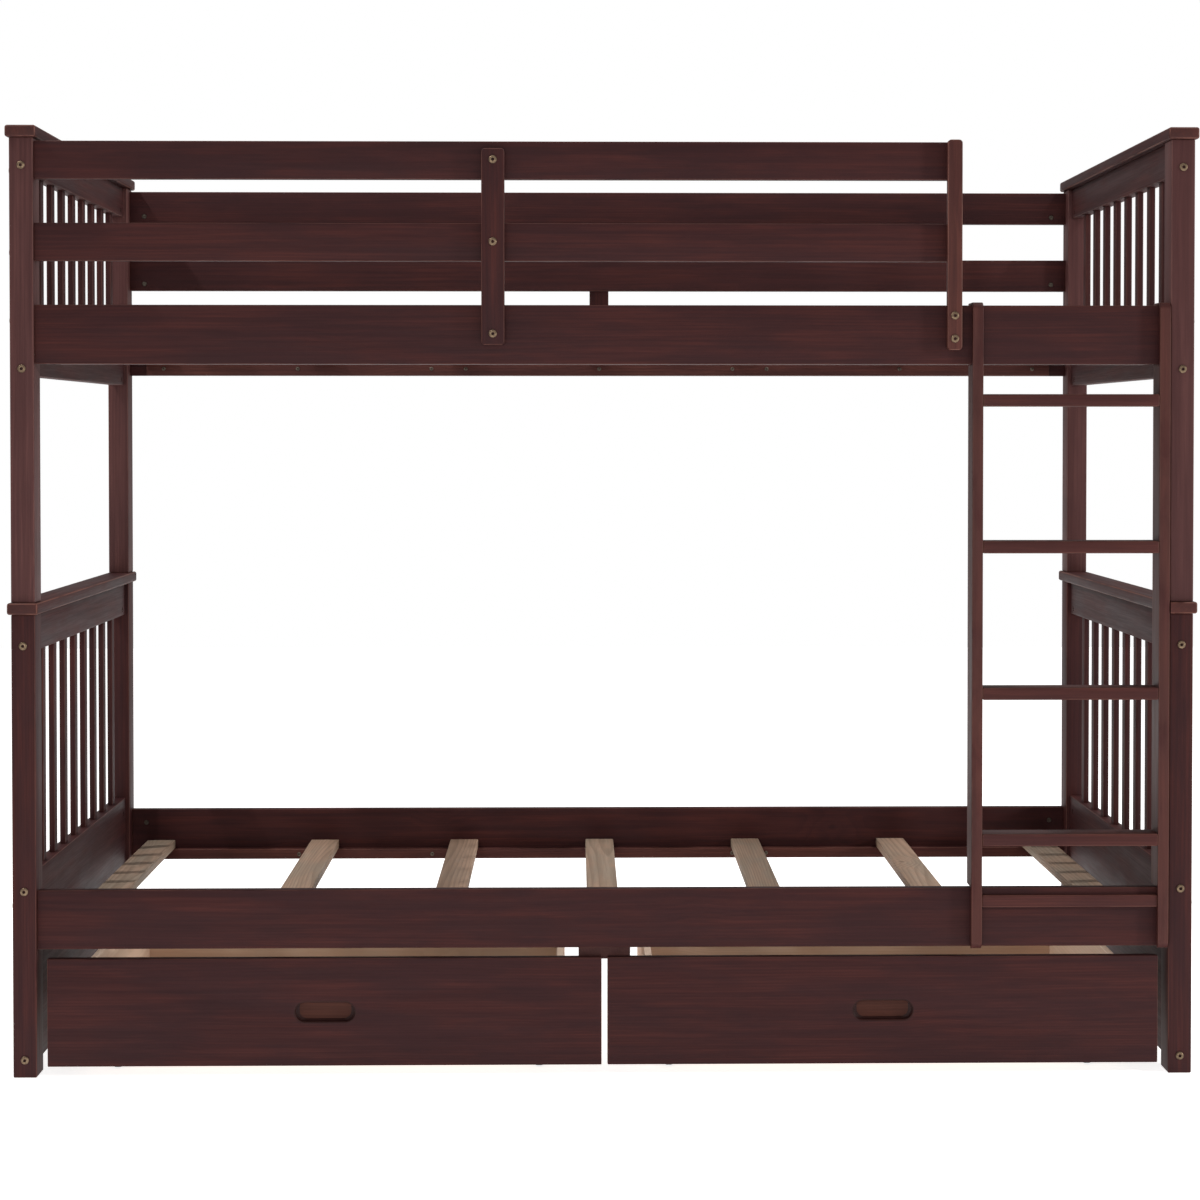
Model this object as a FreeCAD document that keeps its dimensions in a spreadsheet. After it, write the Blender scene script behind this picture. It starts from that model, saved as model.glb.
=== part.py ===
# Twin-over-twin bunk bed in dark stained pine: two stacked bed frames, a fixed ladder, guard rails and two
# rolling drawers. X runs along the bed, Y from the front to the back, Z up; the origin is on the floor, in
# the middle of the bed. Sizes are millimetres.
import FreeCAD, Part
import os
import re
import Sketcher

doc = FreeCAD.newDocument("BunkBed")
sheet = doc.addObject("Spreadsheet::Sheet", "Sizes")

# Driving sizes: each can be changed by itself.
SIZES = {
    # whole frame
    "frame_length": 2002,
    "frame_depth": 1074,
    # posts and the flat caps that lie on them
    "post_width": 40,
    "post_depth": 60,
    "lower_post_height": 785,
    "cap_thickness": 20,
    "cap_side_lip": 6,
    "cap_end_lip": 8,
    "cap_notch_gap": 1,
    # side rails and guard rails
    "rail_setback": 8,
    "rail_thickness": 22,
    "side_rail_height": 100,
    "lower_rail_bottom": 217,
    "upper_rail_above_cap": 403,
    "guard_rail_height": 64,
    "guard_gap": 74,
    "guard_cap_clearance": 5,
    "guard_entry_width": 356,
    "guard_end_recess": 2,
    # upright boards that tie the guard rails to the upper side rails
    "support_thickness": 18,
    "middle_support_width": 39,
    "middle_support_shift": 10,
    "middle_support_foot": 32,
    "middle_support_top_gap": 13,
    "end_support_width": 25,
    "end_support_foot": 24,
    "end_support_rise": 3,
    # end frames
    "end_rail_thickness": 24,
    "lower_top_rail_height": 65,
    "upper_top_rail_height": 59,
    "upper_end_rail_height": 100,
    "upper_end_rail_drop": 20,
    "end_panel_floor_gap": 18,
    "end_panel_above_rail": 28,
    "spindle_width": 28,
    "spindle_thickness": 10,
    "spindle_count": 8,
    # cleats and slats
    "lower_cleat_height": 20,
    "upper_cleat_height": 28,
    "cleat_depth": 22,
    "cleat_screw_pitch": 273,
    "cleat_end_margin": 35,
    "cleat_count": 3,
    "slat_width": 57,
    "slat_thickness": 17,
    "slat_count": 7,
    "slat_end_inset": 61,
    "slat_side_gap": 2,
    "second_slat_shift": 36,
    "third_slat_shift": 22,
    # block under the lower front rail that stops both drawers
    "stop_block_width": 88,
    "stop_block_thickness": 22,
    "stop_block_length": 120,
    # ladder
    "ladder_clear_width": 300,
    "ladder_post_gap": 1.5,
    "stringer_width": 18,
    "stringer_depth": 60,
    "tongue_depth": 15,
    "hook_rise": 5,
    "hook_drop": 50,
    "hook_gap": 0.5,
    "ladder_foot_drop": 3,
    "rung_thickness": 21,
    "rung_back_recess": 4,
    "rung_first_rise": 83,
    "rung_pitch": 249,
    "foot_rung_depth": 12,
    "foot_rung_drop": 32,
    # drawers
    "drawer_side_gap": 17.5,
    "drawer_middle_gap": 10,
    "drawer_floor_gap": 18,
    "drawer_top_gap": 16,
    "drawer_front_setback": 2,
    "drawer_front_thickness": 20,
    "drawer_stop_gap": 0.5,
    "drawer_depth": 640,
    "drawer_side_inset": 65,
    "drawer_board": 12,
    "drawer_side_drop": 10,
    "drawer_side_top_gap": 6,
    "drawer_bottom_thickness": 6,
    "grip_length": 103,
    "grip_height": 35,
    "grip_depth": 13,
    "grip_undercut": 8,
    "grip_lip": 5,
    # casters
    "wheel_radius": 18,
    "wheel_width": 14,
    "wheel_top_gap": 6,
    "wheel_cheek_gap": 1,
    "wheel_bore_gap": 0.05,
    "caster_sheet": 2,
    "caster_flange": 8,
    "caster_length": 40,
    "caster_inset_side": 30,
    "caster_inset_end": 60,
    "axle_radius": 3,
    "axle_cover": 8,
    # fasteners
    "bolt_radius": 3,
    "bolt_head_radius": 7,
    "bolt_head_height": 3,
    "bolt_hole_gap": 0.5,
    "bolt_past_nut": 8,
    "bolt_edge_inset": 12,
    "panel_bolt_drop": 29,
    "side_rail_bolt_drop": 27,
    "guard_bolt_rise": 14,
    "nut_inset": 30,
    "nut_radius": 5,
    "nut_length": 18,
    "nut_recess": 1,
    "nut_gap": 0.2,
    "support_bolt_reach": 14,
    "support_bolt_inset": 19,
    "end_support_bolt_pitch": 39,
    "screw_radius": 2,
    "screw_head_radius": 4,
    "screw_head_height": 2,
    "screw_reach": 14,
    "screw_hole_gap": 0.2,
    "dowel_radius": 4,
    "dowel_reach": 16,
    "dowel_gap": 0.1,
    "rail_dowel_rise": 32,
    "stacking_pin_radius": 5,
    "stacking_pin_reach": 25,
}

# Places that follow from them.
PLACES = {
    "end_plane": "frame_length / 2 - post_width / 2",
    "inner_half_length": "frame_length / 2 - post_width",
    "half_depth": "frame_depth / 2",
    "post_plane": "frame_depth / 2 - post_depth / 2",
    "inner_half_depth": "frame_depth / 2 - post_depth",
    "rail_face": "half_depth - rail_setback",
    "rail_inner": "rail_face - rail_thickness",
    "rail_plane": "rail_face - rail_thickness / 2",
    "cleat_inner": "rail_inner - cleat_depth",
    "cleat_length": "2 * cleat_end_margin + 2 * cleat_screw_pitch",
    "cap_width": "post_width + 2 * cap_side_lip",
    "cap_length": "frame_depth + 2 * cap_end_lip",
    "upper_post_bottom": "lower_post_height + cap_thickness",
    "upper_post_height": "upper_rail_above_cap + side_rail_height + 2 * guard_gap + 2 * guard_rail_height"
                         " + guard_cap_clearance",
    "upper_cap_bottom": "upper_post_bottom + upper_post_height",
    "lower_rail_top": "lower_rail_bottom + side_rail_height",
    "upper_rail_bottom": "upper_post_bottom + upper_rail_above_cap",
    "upper_rail_top": "upper_rail_bottom + side_rail_height",
    "low_guard_bottom": "upper_rail_top + guard_gap",
    "top_guard_bottom": "low_guard_bottom + guard_rail_height + guard_gap",
    "guard_top": "top_guard_bottom + guard_rail_height",
    "guard_end": "inner_half_length - guard_entry_width",
    "middle_support_x": "(guard_end - inner_half_length) / 2 - middle_support_shift",
    "panel_top": "lower_rail_top + end_panel_above_rail",
    "lower_top_rail_bottom": "lower_post_height - lower_top_rail_height",
    "upper_end_rail_bottom": "upper_rail_bottom - upper_end_rail_drop",
    "upper_end_rail_top": "upper_end_rail_bottom + upper_end_rail_height",
    "upper_top_rail_bottom": "upper_cap_bottom - upper_top_rail_height",
    "spindle_pitch": "2 * inner_half_depth / (spindle_count + 1)",
    "end_rail_inner": "end_plane - end_rail_thickness / 2",
    "slat_pitch": "2 * (inner_half_length - slat_end_inset) / (slat_count - 1)",
    "ladder_right": "inner_half_length - ladder_post_gap",
    "ladder_left": "ladder_right - ladder_clear_width - 2 * stringer_width",
    "ladder_face": "rail_face + tongue_depth",
    "ladder_foot": "lower_rail_bottom - ladder_foot_drop",
    "ladder_top": "upper_rail_top + hook_rise",
    "drawer_length": "inner_half_length - drawer_side_gap - drawer_middle_gap / 2",
    "drawer_top": "lower_rail_bottom - drawer_top_gap",
    "drawer_face": "half_depth - drawer_front_setback",
    "drawer_front_back": "drawer_face - drawer_front_thickness",
    "drawer_back": "drawer_depth - drawer_front_back",
    "drawer_side_top": "drawer_top - drawer_side_top_gap",
    "drawer_bottom_level": "2 * wheel_radius + wheel_top_gap + caster_sheet",
    "drawer_side_bottom": "drawer_bottom_level - drawer_side_drop",
    "drawer_side_height": "drawer_side_top - drawer_side_bottom",
    "drawer_inner_length": "drawer_length - 2 * drawer_side_inset - 2 * drawer_board",
    "fork_width": "wheel_width + 2 * wheel_cheek_gap + 2 * caster_sheet",
    "lower_panel_bolt": "end_panel_floor_gap + bolt_edge_inset",
    "upper_panel_bolt": "panel_top - panel_bolt_drop",
    "lower_top_bolt": "lower_top_rail_bottom + bolt_edge_inset",
    "upper_end_bolt": "upper_end_rail_bottom + bolt_edge_inset",
    "upper_top_bolt": "upper_top_rail_bottom + bolt_edge_inset",
    "lower_side_bolt": "lower_rail_top - side_rail_bolt_drop",
    "upper_side_bolt": "upper_rail_top - side_rail_bolt_drop",
    "low_guard_bolt": "low_guard_bottom + guard_bolt_rise",
    "top_guard_bolt": "top_guard_bottom + guard_bolt_rise",
    "lower_rail_dowel": "lower_rail_bottom + rail_dowel_rise",
    "upper_rail_dowel": "upper_rail_bottom + rail_dowel_rise",
}

for row, (alias, content) in enumerate(list(SIZES.items()) + list(PLACES.items()), start=1):
    sheet.set(f"A{row}", alias)
    sheet.set(f"B{row}", str(content) if alias in SIZES else "=" + content)
    sheet.setAlias(f"B{row}", alias)
doc.recompute()

nodes = []


def bound(text):
    """An expression of the sheet's names, as FreeCAD reads it."""
    return re.sub(r"[a-z][a-z_]*", lambda name: "Sizes." + name.group(), str(text))


def bind(thing, prop, text):
    thing.setExpression(prop, bound(text))


def place(thing, corner):
    for axis, text in zip("xyz", corner):
        bind(thing, "Placement.Base." + axis, text)


def node(thing, label):
    """Marks a finished sub-part and gives it its name."""
    thing.Label = label
    nodes.append(thing)
    return thing


def board(name, size, corner):
    """A straight board from its size and its lowest corner."""
    solid = doc.addObject("Part::Box", name)
    for prop, text in zip(("Length", "Width", "Height"), size):
        bind(solid, prop, text)
    place(solid, corner)
    return solid


TURNS = {
    "+x": FreeCAD.Rotation(FreeCAD.Vector(0, 1, 0), 90),
    "-x": FreeCAD.Rotation(FreeCAD.Vector(0, 1, 0), -90),
    "+y": FreeCAD.Rotation(FreeCAD.Vector(1, 0, 0), -90),
    "-y": FreeCAD.Rotation(FreeCAD.Vector(1, 0, 0), 90),
    "+z": FreeCAD.Rotation(),
    "-z": FreeCAD.Rotation(FreeCAD.Vector(1, 0, 0), 180),
}
OPPOSITE = {"+x": "-x", "-x": "+x", "+y": "-y", "-y": "+y", "+z": "-z", "-z": "+z"}


def rod(name, radius, length, start, way):
    """A round rod that leaves the point start along one of the six ways."""
    solid = doc.addObject("Part::Cylinder", name)
    solid.Placement = FreeCAD.Placement(FreeCAD.Vector(), TURNS[way])
    bind(solid, "Radius", radius)
    bind(solid, "Height", length)
    place(solid, start)
    return solid


def together(name, members):
    """Separate solids that share one node."""
    bundle = doc.addObject("Part::Compound", name)
    bundle.Links = members
    return bundle


def fused(name, members):
    joined = doc.addObject("Part::MultiFuse", name)
    joined.Shapes = members
    return joined


def less(name, solid, tools):
    """A solid with holes or recesses cut out of it."""
    result = doc.addObject("Part::Cut", name)
    result.Base = solid
    result.Tool = tools[0] if len(tools) == 1 else together(name + "_tools", tools)
    return result


def stepped(start, way, distance):
    """The point that lies a distance from start along one of the six ways."""
    shifted = list(start)
    axis = "xyz".index(way[1])
    shifted[axis] = f"({shifted[axis]}) {way[0]} ({distance})"
    return tuple(shifted)


# ---- bolted joints: a bolt through a post and a barrel nut across the rail behind it ----

bolts = []
nuts = []
screws = []
dowels = []


def bolt(face, way, length):
    """A flat-headed bolt: its head lies on the face, its shank goes in along way."""
    name = f"bolt_{len(bolts)}"
    head = rod(name + "_head", "bolt_head_radius", "bolt_head_height", face, OPPOSITE[way])
    shank = rod(name + "_shank", "bolt_radius", length, face, way)
    bolts.append(fused(name, [head, shank]))


def bolt_hole(name, face, way, length):
    return rod(name, "bolt_radius + bolt_hole_gap", length, face, way)


def screw(face, way, length):
    """A wood screw whose head lies on the face."""
    name = f"screw_{len(screws)}"
    head = rod(name + "_head", "screw_head_radius", "screw_head_height", face, OPPOSITE[way])
    shank = rod(name + "_shank", "screw_radius", length, face, way)
    screws.append(fused(name, [head, shank]))


def screw_hole(name, face, way, length):
    return rod(name, "screw_radius + screw_hole_gap", length, face, way)


def dowel_hole(name, middle, way):
    return rod(name, "dowel_radius + dowel_gap", "dowel_reach + dowel_gap", middle, way)


def dowel(middle, way):
    """A wooden dowel centred on the joint between two pieces."""
    start = stepped(middle, OPPOSITE[way], "dowel_reach")
    dowels.append(rod(f"dowel_{len(dowels)}", "dowel_radius", "2 * dowel_reach", start, way))


def barrel_nut_joint(name, face, way, post_size, nut_face, nut_way):
    """Adds the bolt and its barrel nut, and returns the two bores they need in the rail.

    face is on the post's outside; nut_face is where the nut's bore opens on the rail's inner side, level
    with the rail's end.
    """
    bolt(face, way, f"{post_size} + nut_inset + bolt_past_nut")
    mouth = stepped(nut_face, way, "nut_inset")
    nut_start = stepped(mouth, nut_way, "nut_recess")
    count = len(nuts)
    barrel = rod(f"nut_{count}_barrel", "nut_radius", "nut_length", nut_start, nut_way)
    thread = bolt_hole(f"nut_{count}_thread", face, way, f"{post_size} + 2 * nut_inset")
    nuts.append(less(f"nut_{count}", barrel, [thread]))
    bore = bolt_hole(name + "_bore", stepped(face, way, post_size), way, "nut_inset + bolt_past_nut")
    well = rod(name + "_well", "nut_radius + nut_gap", "nut_length + nut_recess", mouth, nut_way)
    return [bore, well]


# ---- posts ----

SIDES = {"left": (-1, "+x"), "right": (1, "-x")}
FACES = {"front": (-1, "+y"), "back": (1, "-y")}


def post(label, x_sign, y_sign, bottom, height, end_bolts, side_bolts, dowel_levels):
    """A square-edged post, bored for the bolts of the end frame, of the rails and for its dowels."""
    body = board(
        label + "_blank",
        ("post_width", "post_depth", height),
        (f"{x_sign} * end_plane - post_width / 2", f"{y_sign} * post_plane - post_depth / 2", bottom),
    )
    x_out = f"{x_sign} * frame_length / 2"
    y_out = f"{y_sign} * half_depth"
    x_way = "+x" if x_sign < 0 else "-x"
    y_way = "+y" if y_sign < 0 else "-y"
    holes = []
    for level in end_bolts:
        start = (f"{x_sign} * end_plane", y_out, level)
        holes.append(bolt_hole(f"{label}_hole_{len(holes)}", start, y_way, "post_depth"))
    for level in side_bolts:
        start = (x_out, f"{y_sign} * rail_plane", level)
        holes.append(bolt_hole(f"{label}_hole_{len(holes)}", start, x_way, "post_width"))
    for level in dowel_levels:
        start = (f"{x_sign} * inner_half_length", f"{y_sign} * rail_plane", level)
        holes.append(dowel_hole(f"{label}_hole_{len(holes)}", start, OPPOSITE[x_way]))
    return body, holes


def pin_hole(name, x_sign, y_sign, level, way, length):
    start = (f"{x_sign} * end_plane", f"{y_sign} * post_plane", level)
    return rod(name, "stacking_pin_radius + dowel_gap", length, start, way)


stacking_pins = []
for side, (x_sign, _) in SIDES.items():
    for face, (y_sign, _) in FACES.items():
        label = f"lower_post_{face}_{side}"
        body, holes = post(
            label, x_sign, y_sign, "0", "lower_post_height",
            ["lower_panel_bolt", "upper_panel_bolt", "lower_top_bolt"], ["lower_side_bolt"],
            ["lower_rail_dowel"],
        )
        holes.append(pin_hole(label + "_pin", x_sign, y_sign, "lower_post_height", "-z",
                              "stacking_pin_reach"))
        node(less(label, body, holes), label)

        label = f"upper_post_{face}_{side}"
        guard_bolts = [] if (face, side) == ("front", "right") else ["low_guard_bolt", "top_guard_bolt"]
        body, holes = post(
            label, x_sign, y_sign, "upper_post_bottom", "upper_post_height",
            ["upper_end_bolt", "upper_top_bolt"], ["upper_side_bolt"] + guard_bolts,
            ["upper_rail_dowel"],
        )
        holes.append(pin_hole(label + "_pin", x_sign, y_sign, "upper_post_bottom", "+z",
                              "stacking_pin_reach"))
        cap_joint = (f"{x_sign} * end_plane", f"{y_sign} * post_plane", "upper_cap_bottom")
        holes.append(dowel_hole(label + "_cap_dowel", cap_joint, "-z"))
        node(less(label, body, holes), label)
        dowel(cap_joint, "+z")

        start = (f"{x_sign} * end_plane", f"{y_sign} * post_plane", "lower_post_height - stacking_pin_reach")
        stacking_pins.append(rod(f"stacking_pin_{len(stacking_pins)}", "stacking_pin_radius",
                                 "2 * stacking_pin_reach + cap_thickness", start, "+z"))


# ---- flat caps: one board over the two posts and the top rail of each end frame ----
# The ladder stands against the front right post, so the lower right cap's inner lip is notched round it.


def cap(label, x_sign, level, holes):
    body = board(
        label + "_blank",
        ("cap_width", "cap_length", "cap_thickness"),
        (f"{x_sign} * end_plane - cap_width / 2", "-cap_length / 2", level),
    )
    return node(less(label, body, holes), label)


for side, (x_sign, _) in SIDES.items():
    pin_holes = [
        pin_hole(f"lower_cap_{side}_{face}_pin", x_sign, y_sign, "lower_post_height", "+z", "cap_thickness")
        for face, (y_sign, _) in FACES.items()
    ]
    notches = [] if side == "left" else [board(
        "lower_cap_right_notch",
        ("cap_side_lip", "cap_length / 2 - ladder_face + stringer_depth + cap_notch_gap", "cap_thickness"),
        ("inner_half_length - cap_side_lip", "-cap_length / 2", "lower_post_height"),
    )]
    cap(f"lower_cap_{side}", x_sign, "lower_post_height", pin_holes + notches)
    dowel_holes = [
        dowel_hole(
            f"upper_cap_{side}_{face}_dowel",
            (f"{x_sign} * end_plane", f"{y_sign} * post_plane", "upper_cap_bottom"), "+z")
        for face, (y_sign, _) in FACES.items()
    ]
    cap(f"upper_cap_{side}", x_sign, "upper_cap_bottom", dowel_holes)


# ---- end frames: rails and a panel between the posts, with slim spindles between the rails ----


def end_rail(label, x_sign, bottom, height, bolt_levels):
    """A board along Y between the two posts of one end, bolted at both ends."""
    body = board(
        label + "_blank",
        ("end_rail_thickness", "2 * inner_half_depth", height),
        (f"{x_sign} * end_plane - end_rail_thickness / 2", "-inner_half_depth", bottom),
    )
    bores = []
    nut_way = "-x" if x_sign < 0 else "+x"
    for level in bolt_levels:
        for face, (y_sign, way) in FACES.items():
            bores += barrel_nut_joint(
                f"{label}_{face}_{level}",
                (f"{x_sign} * end_plane", f"{y_sign} * half_depth", level), way, "post_depth",
                (f"{x_sign} * end_rail_inner", f"{y_sign} * inner_half_depth", level), nut_way,
            )
    return node(less(label, body, bores), label)


def spindles(label, bottom, top):
    """Slim upright slats at both ends of one bed, evenly spaced between the posts."""
    rows = []
    for x_sign, _ in SIDES.values():
        for place_in_row in range(1, SIZES["spindle_count"] + 1):
            middle = f"{place_in_row} * spindle_pitch - inner_half_depth"
            rows.append(board(
                f"{label}_{len(rows)}",
                ("spindle_thickness", "spindle_width", f"{top} - {bottom}"),
                (f"{x_sign} * end_plane - spindle_thickness / 2", f"{middle} - spindle_width / 2", bottom),
            ))
    return node(together(label, rows), label)


for side, (x_sign, _) in SIDES.items():
    end_rail(f"lower_end_panel_{side}", x_sign, "end_panel_floor_gap", "panel_top - end_panel_floor_gap",
             ["lower_panel_bolt", "upper_panel_bolt"])
    end_rail(f"lower_end_top_rail_{side}", x_sign, "lower_top_rail_bottom", "lower_top_rail_height",
             ["lower_top_bolt"])
    end_rail(f"upper_end_bottom_rail_{side}", x_sign, "upper_end_rail_bottom", "upper_end_rail_height",
             ["upper_end_bolt"])
    end_rail(f"upper_end_top_rail_{side}", x_sign, "upper_top_rail_bottom", "upper_top_rail_height",
             ["upper_top_bolt"])

spindles("lower_spindles", "panel_top", "lower_top_rail_bottom")
spindles("upper_spindles", "upper_end_rail_top", "upper_top_rail_bottom")


# ---- side rails, guard rails and the cleats that carry the slats ----


def long_rail(label, y_sign, bottom, height, end, bolt_level, dowel_level, more_holes):
    """A board along X from the left posts to end, bolted to the posts that it meets."""
    reaches_right = end == "inner_half_length"
    y_low = "rail_inner" if y_sign > 0 else "-rail_face"
    body = board(
        label + "_blank",
        (f"{end} + inner_half_length", "rail_thickness", height),
        ("-inner_half_length", y_low, bottom),
    )
    bores = []
    nut_way = "+y" if y_sign > 0 else "-y"
    for side, (x_sign, way) in SIDES.items():
        if side == "right" and not reaches_right:
            continue
        bores += barrel_nut_joint(
            f"{label}_{side}",
            (f"{x_sign} * frame_length / 2", f"{y_sign} * rail_plane", bolt_level), way, "post_width",
            (f"{x_sign} * inner_half_length", f"{y_sign} * rail_inner", bolt_level), nut_way,
        )
        if dowel_level:
            middle = (f"{x_sign} * inner_half_length", f"{y_sign} * rail_plane", dowel_level)
            bores.append(dowel_hole(f"{label}_{side}_dowel", middle, way))
            dowel(middle, way)
    return node(less(label, body, bores + more_holes), label)


def cleat_screw_places(piece):
    """X of the three screws of one cleat strip, counted from the left."""
    middle = f"({piece - (SIZES['cleat_count'] - 1) / 2}) * cleat_length"
    return [f"{middle} + ({step}) * cleat_screw_pitch" for step in (-1, 0, 1)]


def stop_block_screws(level):
    """Where the screws enter that hold the stop block up to the middle length of the lower front cleat."""
    y_middle = "cleat_depth / 2 - rail_inner"
    return [(f"{x_step} * stop_block_width / 4", y_middle, level) for x_step in (-1, 1)]


def cleats(label, rail_bottom, height):
    """Strips in short lengths, screwed to the inside of both side rails along their lower edge."""
    strips = []
    for face, (y_sign, way) in FACES.items():
        y_low = "cleat_inner" if y_sign > 0 else "-rail_inner"
        for piece in range(SIZES["cleat_count"]):
            name = f"{label}_{face}_{piece}"
            left_end = f"({piece - SIZES['cleat_count'] / 2}) * cleat_length"
            strip = board(name + "_blank", ("cleat_length", "cleat_depth", height),
                          (left_end, y_low, rail_bottom))
            holes = []
            if name == "lower_cleats_front_1":
                for start in stop_block_screws(rail_bottom):
                    holes.append(screw_hole(f"{name}_hole_{len(holes)}", start, "+z", "screw_reach"))
            for x_place in cleat_screw_places(piece):
                mouth = (x_place, f"{y_sign} * cleat_inner", f"{rail_bottom} + {height} / 2")
                holes.append(screw_hole(f"{name}_hole_{len(holes)}", mouth, OPPOSITE[way], "cleat_depth"))
                screw(mouth, OPPOSITE[way], "cleat_depth + screw_reach")
            strips.append(less(name, strip, holes))
    return node(together(label, strips), label)


def cleat_bores(name, y_sign, rail_bottom, height):
    """The blind holes in a side rail for the cleat screws."""
    bores = []
    way = "+y" if y_sign > 0 else "-y"
    for piece in range(SIZES["cleat_count"]):
        for x_place in cleat_screw_places(piece):
            mouth = (x_place, f"{y_sign} * rail_inner", f"{rail_bottom} + {height} / 2")
            bores.append(screw_hole(f"{name}_cleat_bore_{len(bores)}", mouth, way, "screw_reach"))
    return bores


def ladder_screw_places():
    """X of the two stringers' middles."""
    return ["ladder_left + stringer_width / 2", "ladder_right - stringer_width / 2"]


def ladder_bores(name, level):
    """Through holes in a front side rail for the screws that hold the ladder from behind."""
    return [
        screw_hole(f"{name}_ladder_bore_{index}", (x_place, "-rail_inner", level), "-y", "rail_thickness")
        for index, x_place in enumerate(ladder_screw_places())
    ]


def support_bore(name, x_place, y_sign, level):
    """A blind bore in a rail's outer face for a support's bolt."""
    way = "-y" if y_sign > 0 else "+y"
    return bolt_hole(name, (x_place, f"{y_sign} * rail_face", level), way, "support_bolt_reach")


MIDDLE_SUPPORT_LEVELS = [
    "upper_rail_bottom + middle_support_foot + support_bolt_inset",
    "low_guard_bottom + guard_rail_height / 2",
    "guard_top - middle_support_top_gap - support_bolt_inset",
]
END_SUPPORT_LEVELS = [
    "upper_rail_bottom + end_support_foot + support_bolt_inset",
    "upper_rail_bottom + end_support_foot + support_bolt_inset + end_support_bolt_pitch",
]
END_SUPPORT_X = "guard_end - end_support_width / 2"
LOWER_LADDER_LEVEL = "lower_rail_bottom + side_rail_height / 2"
UPPER_LADDER_LEVEL = "upper_rail_bottom + side_rail_height / 2"


def support_bores(name, y_sign, level, x_front):
    x_place = x_front if y_sign < 0 else "0"
    return [support_bore(f"{name}_support_bore", x_place, y_sign, level)]


for face, (y_sign, _) in FACES.items():
    name = f"lower_side_rail_{face}"
    holes = cleat_bores(name, y_sign, "lower_rail_bottom", "lower_cleat_height")
    if face == "front":
        holes += ladder_bores(name, LOWER_LADDER_LEVEL)
    long_rail(name, y_sign, "lower_rail_bottom", "side_rail_height", "inner_half_length",
              "lower_side_bolt", "lower_rail_dowel", holes)

    name = f"upper_side_rail_{face}"
    holes = cleat_bores(name, y_sign, "upper_rail_bottom", "upper_cleat_height")
    holes += support_bores(name, y_sign, MIDDLE_SUPPORT_LEVELS[0], "middle_support_x")
    if face == "front":
        holes += ladder_bores(name, UPPER_LADDER_LEVEL)
        for index, level in enumerate(END_SUPPORT_LEVELS):
            holes.append(support_bore(f"{name}_end_support_bore_{index}", END_SUPPORT_X, y_sign, level))
    long_rail(name, y_sign, "upper_rail_bottom", "side_rail_height", "inner_half_length",
              "upper_side_bolt", "upper_rail_dowel", holes)

    end = "guard_end - guard_end_recess" if face == "front" else "inner_half_length"
    for row, bottom, level in (("low", "low_guard_bottom", MIDDLE_SUPPORT_LEVELS[1]),
                               ("top", "top_guard_bottom", MIDDLE_SUPPORT_LEVELS[2])):
        name = f"{row}_guard_rail_{face}"
        holes = support_bores(name, y_sign, level, "middle_support_x")
        if face == "front":
            start = (END_SUPPORT_X, "-rail_inner", f"{bottom} + guard_rail_height / 2")
            holes.append(screw_hole(name + "_end_bore", start, "-y", "rail_thickness"))
            screw(start, "-y", "rail_thickness + screw_reach")
        long_rail(name, y_sign, bottom, "guard_rail_height", end, f"{row}_guard_bolt", None, holes)

cleats("lower_cleats", "lower_rail_bottom", "lower_cleat_height")
cleats("upper_cleats", "upper_rail_bottom", "upper_cleat_height")


# ---- slats: bare boards that lie across the cleats, two of them pushed a little towards the middle ----

SLAT_SHIFTS = {1: "second_slat_shift", 2: "third_slat_shift"}


def slats(label, rail_bottom, cleat_height):
    row = []
    for index in range(SIZES["slat_count"]):
        shift = SLAT_SHIFTS.get(index, "0")
        middle = f"slat_end_inset - inner_half_length + {index} * slat_pitch + {shift}"
        row.append(board(
            f"{label}_{index}",
            ("slat_width", "2 * (rail_inner - slat_side_gap)", "slat_thickness"),
            (f"{middle} - slat_width / 2", "slat_side_gap - rail_inner", f"{rail_bottom} + {cleat_height}"),
        ))
    return node(together(label, row), label)


slats("lower_slats", "lower_rail_bottom", "lower_cleat_height")
slats("upper_slats", "upper_rail_bottom", "upper_cleat_height")


# ---- the upright supports of the guard rails ----


def support(label, x_middle, width, y_sign, foot, top, levels, guard_screws):
    """A board bolted on the outside of the rails."""
    y_low = "rail_face" if y_sign > 0 else "-rail_face - support_thickness"
    body = board(label + "_blank", (width, "support_thickness", f"{top} - ({foot})"),
                 (f"{x_middle} - {width} / 2", y_low, foot))
    way = "-y" if y_sign > 0 else "+y"
    holes = []
    for level in levels:
        face = (x_middle, f"{y_sign} * (rail_face + support_thickness)", level)
        holes.append(bolt_hole(f"{label}_hole_{len(holes)}", face, way, "support_thickness"))
        bolt(face, way, "support_thickness + support_bolt_reach")
    for level in guard_screws:
        start = (x_middle, f"{y_sign} * rail_face", level)
        holes.append(screw_hole(f"{label}_hole_{len(holes)}", start, OPPOSITE[way], "screw_reach"))
    return node(less(label, body, holes), label)


for face, y_sign, x_middle in (("front", -1, "middle_support_x"), ("back", 1, "0")):
    support(f"guard_middle_support_{face}", x_middle, "middle_support_width", y_sign,
            "upper_rail_bottom + middle_support_foot", "guard_top - middle_support_top_gap",
            MIDDLE_SUPPORT_LEVELS, [])
support("guard_end_support", END_SUPPORT_X, "end_support_width", -1,
        "upper_rail_bottom + end_support_foot", "guard_top + end_support_rise", END_SUPPORT_LEVELS,
        ["low_guard_bottom + guard_rail_height / 2", "top_guard_bottom + guard_rail_height / 2"])


# ---- stop block: hangs under the lower front rail, and both drawer fronts close against it ----


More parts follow.
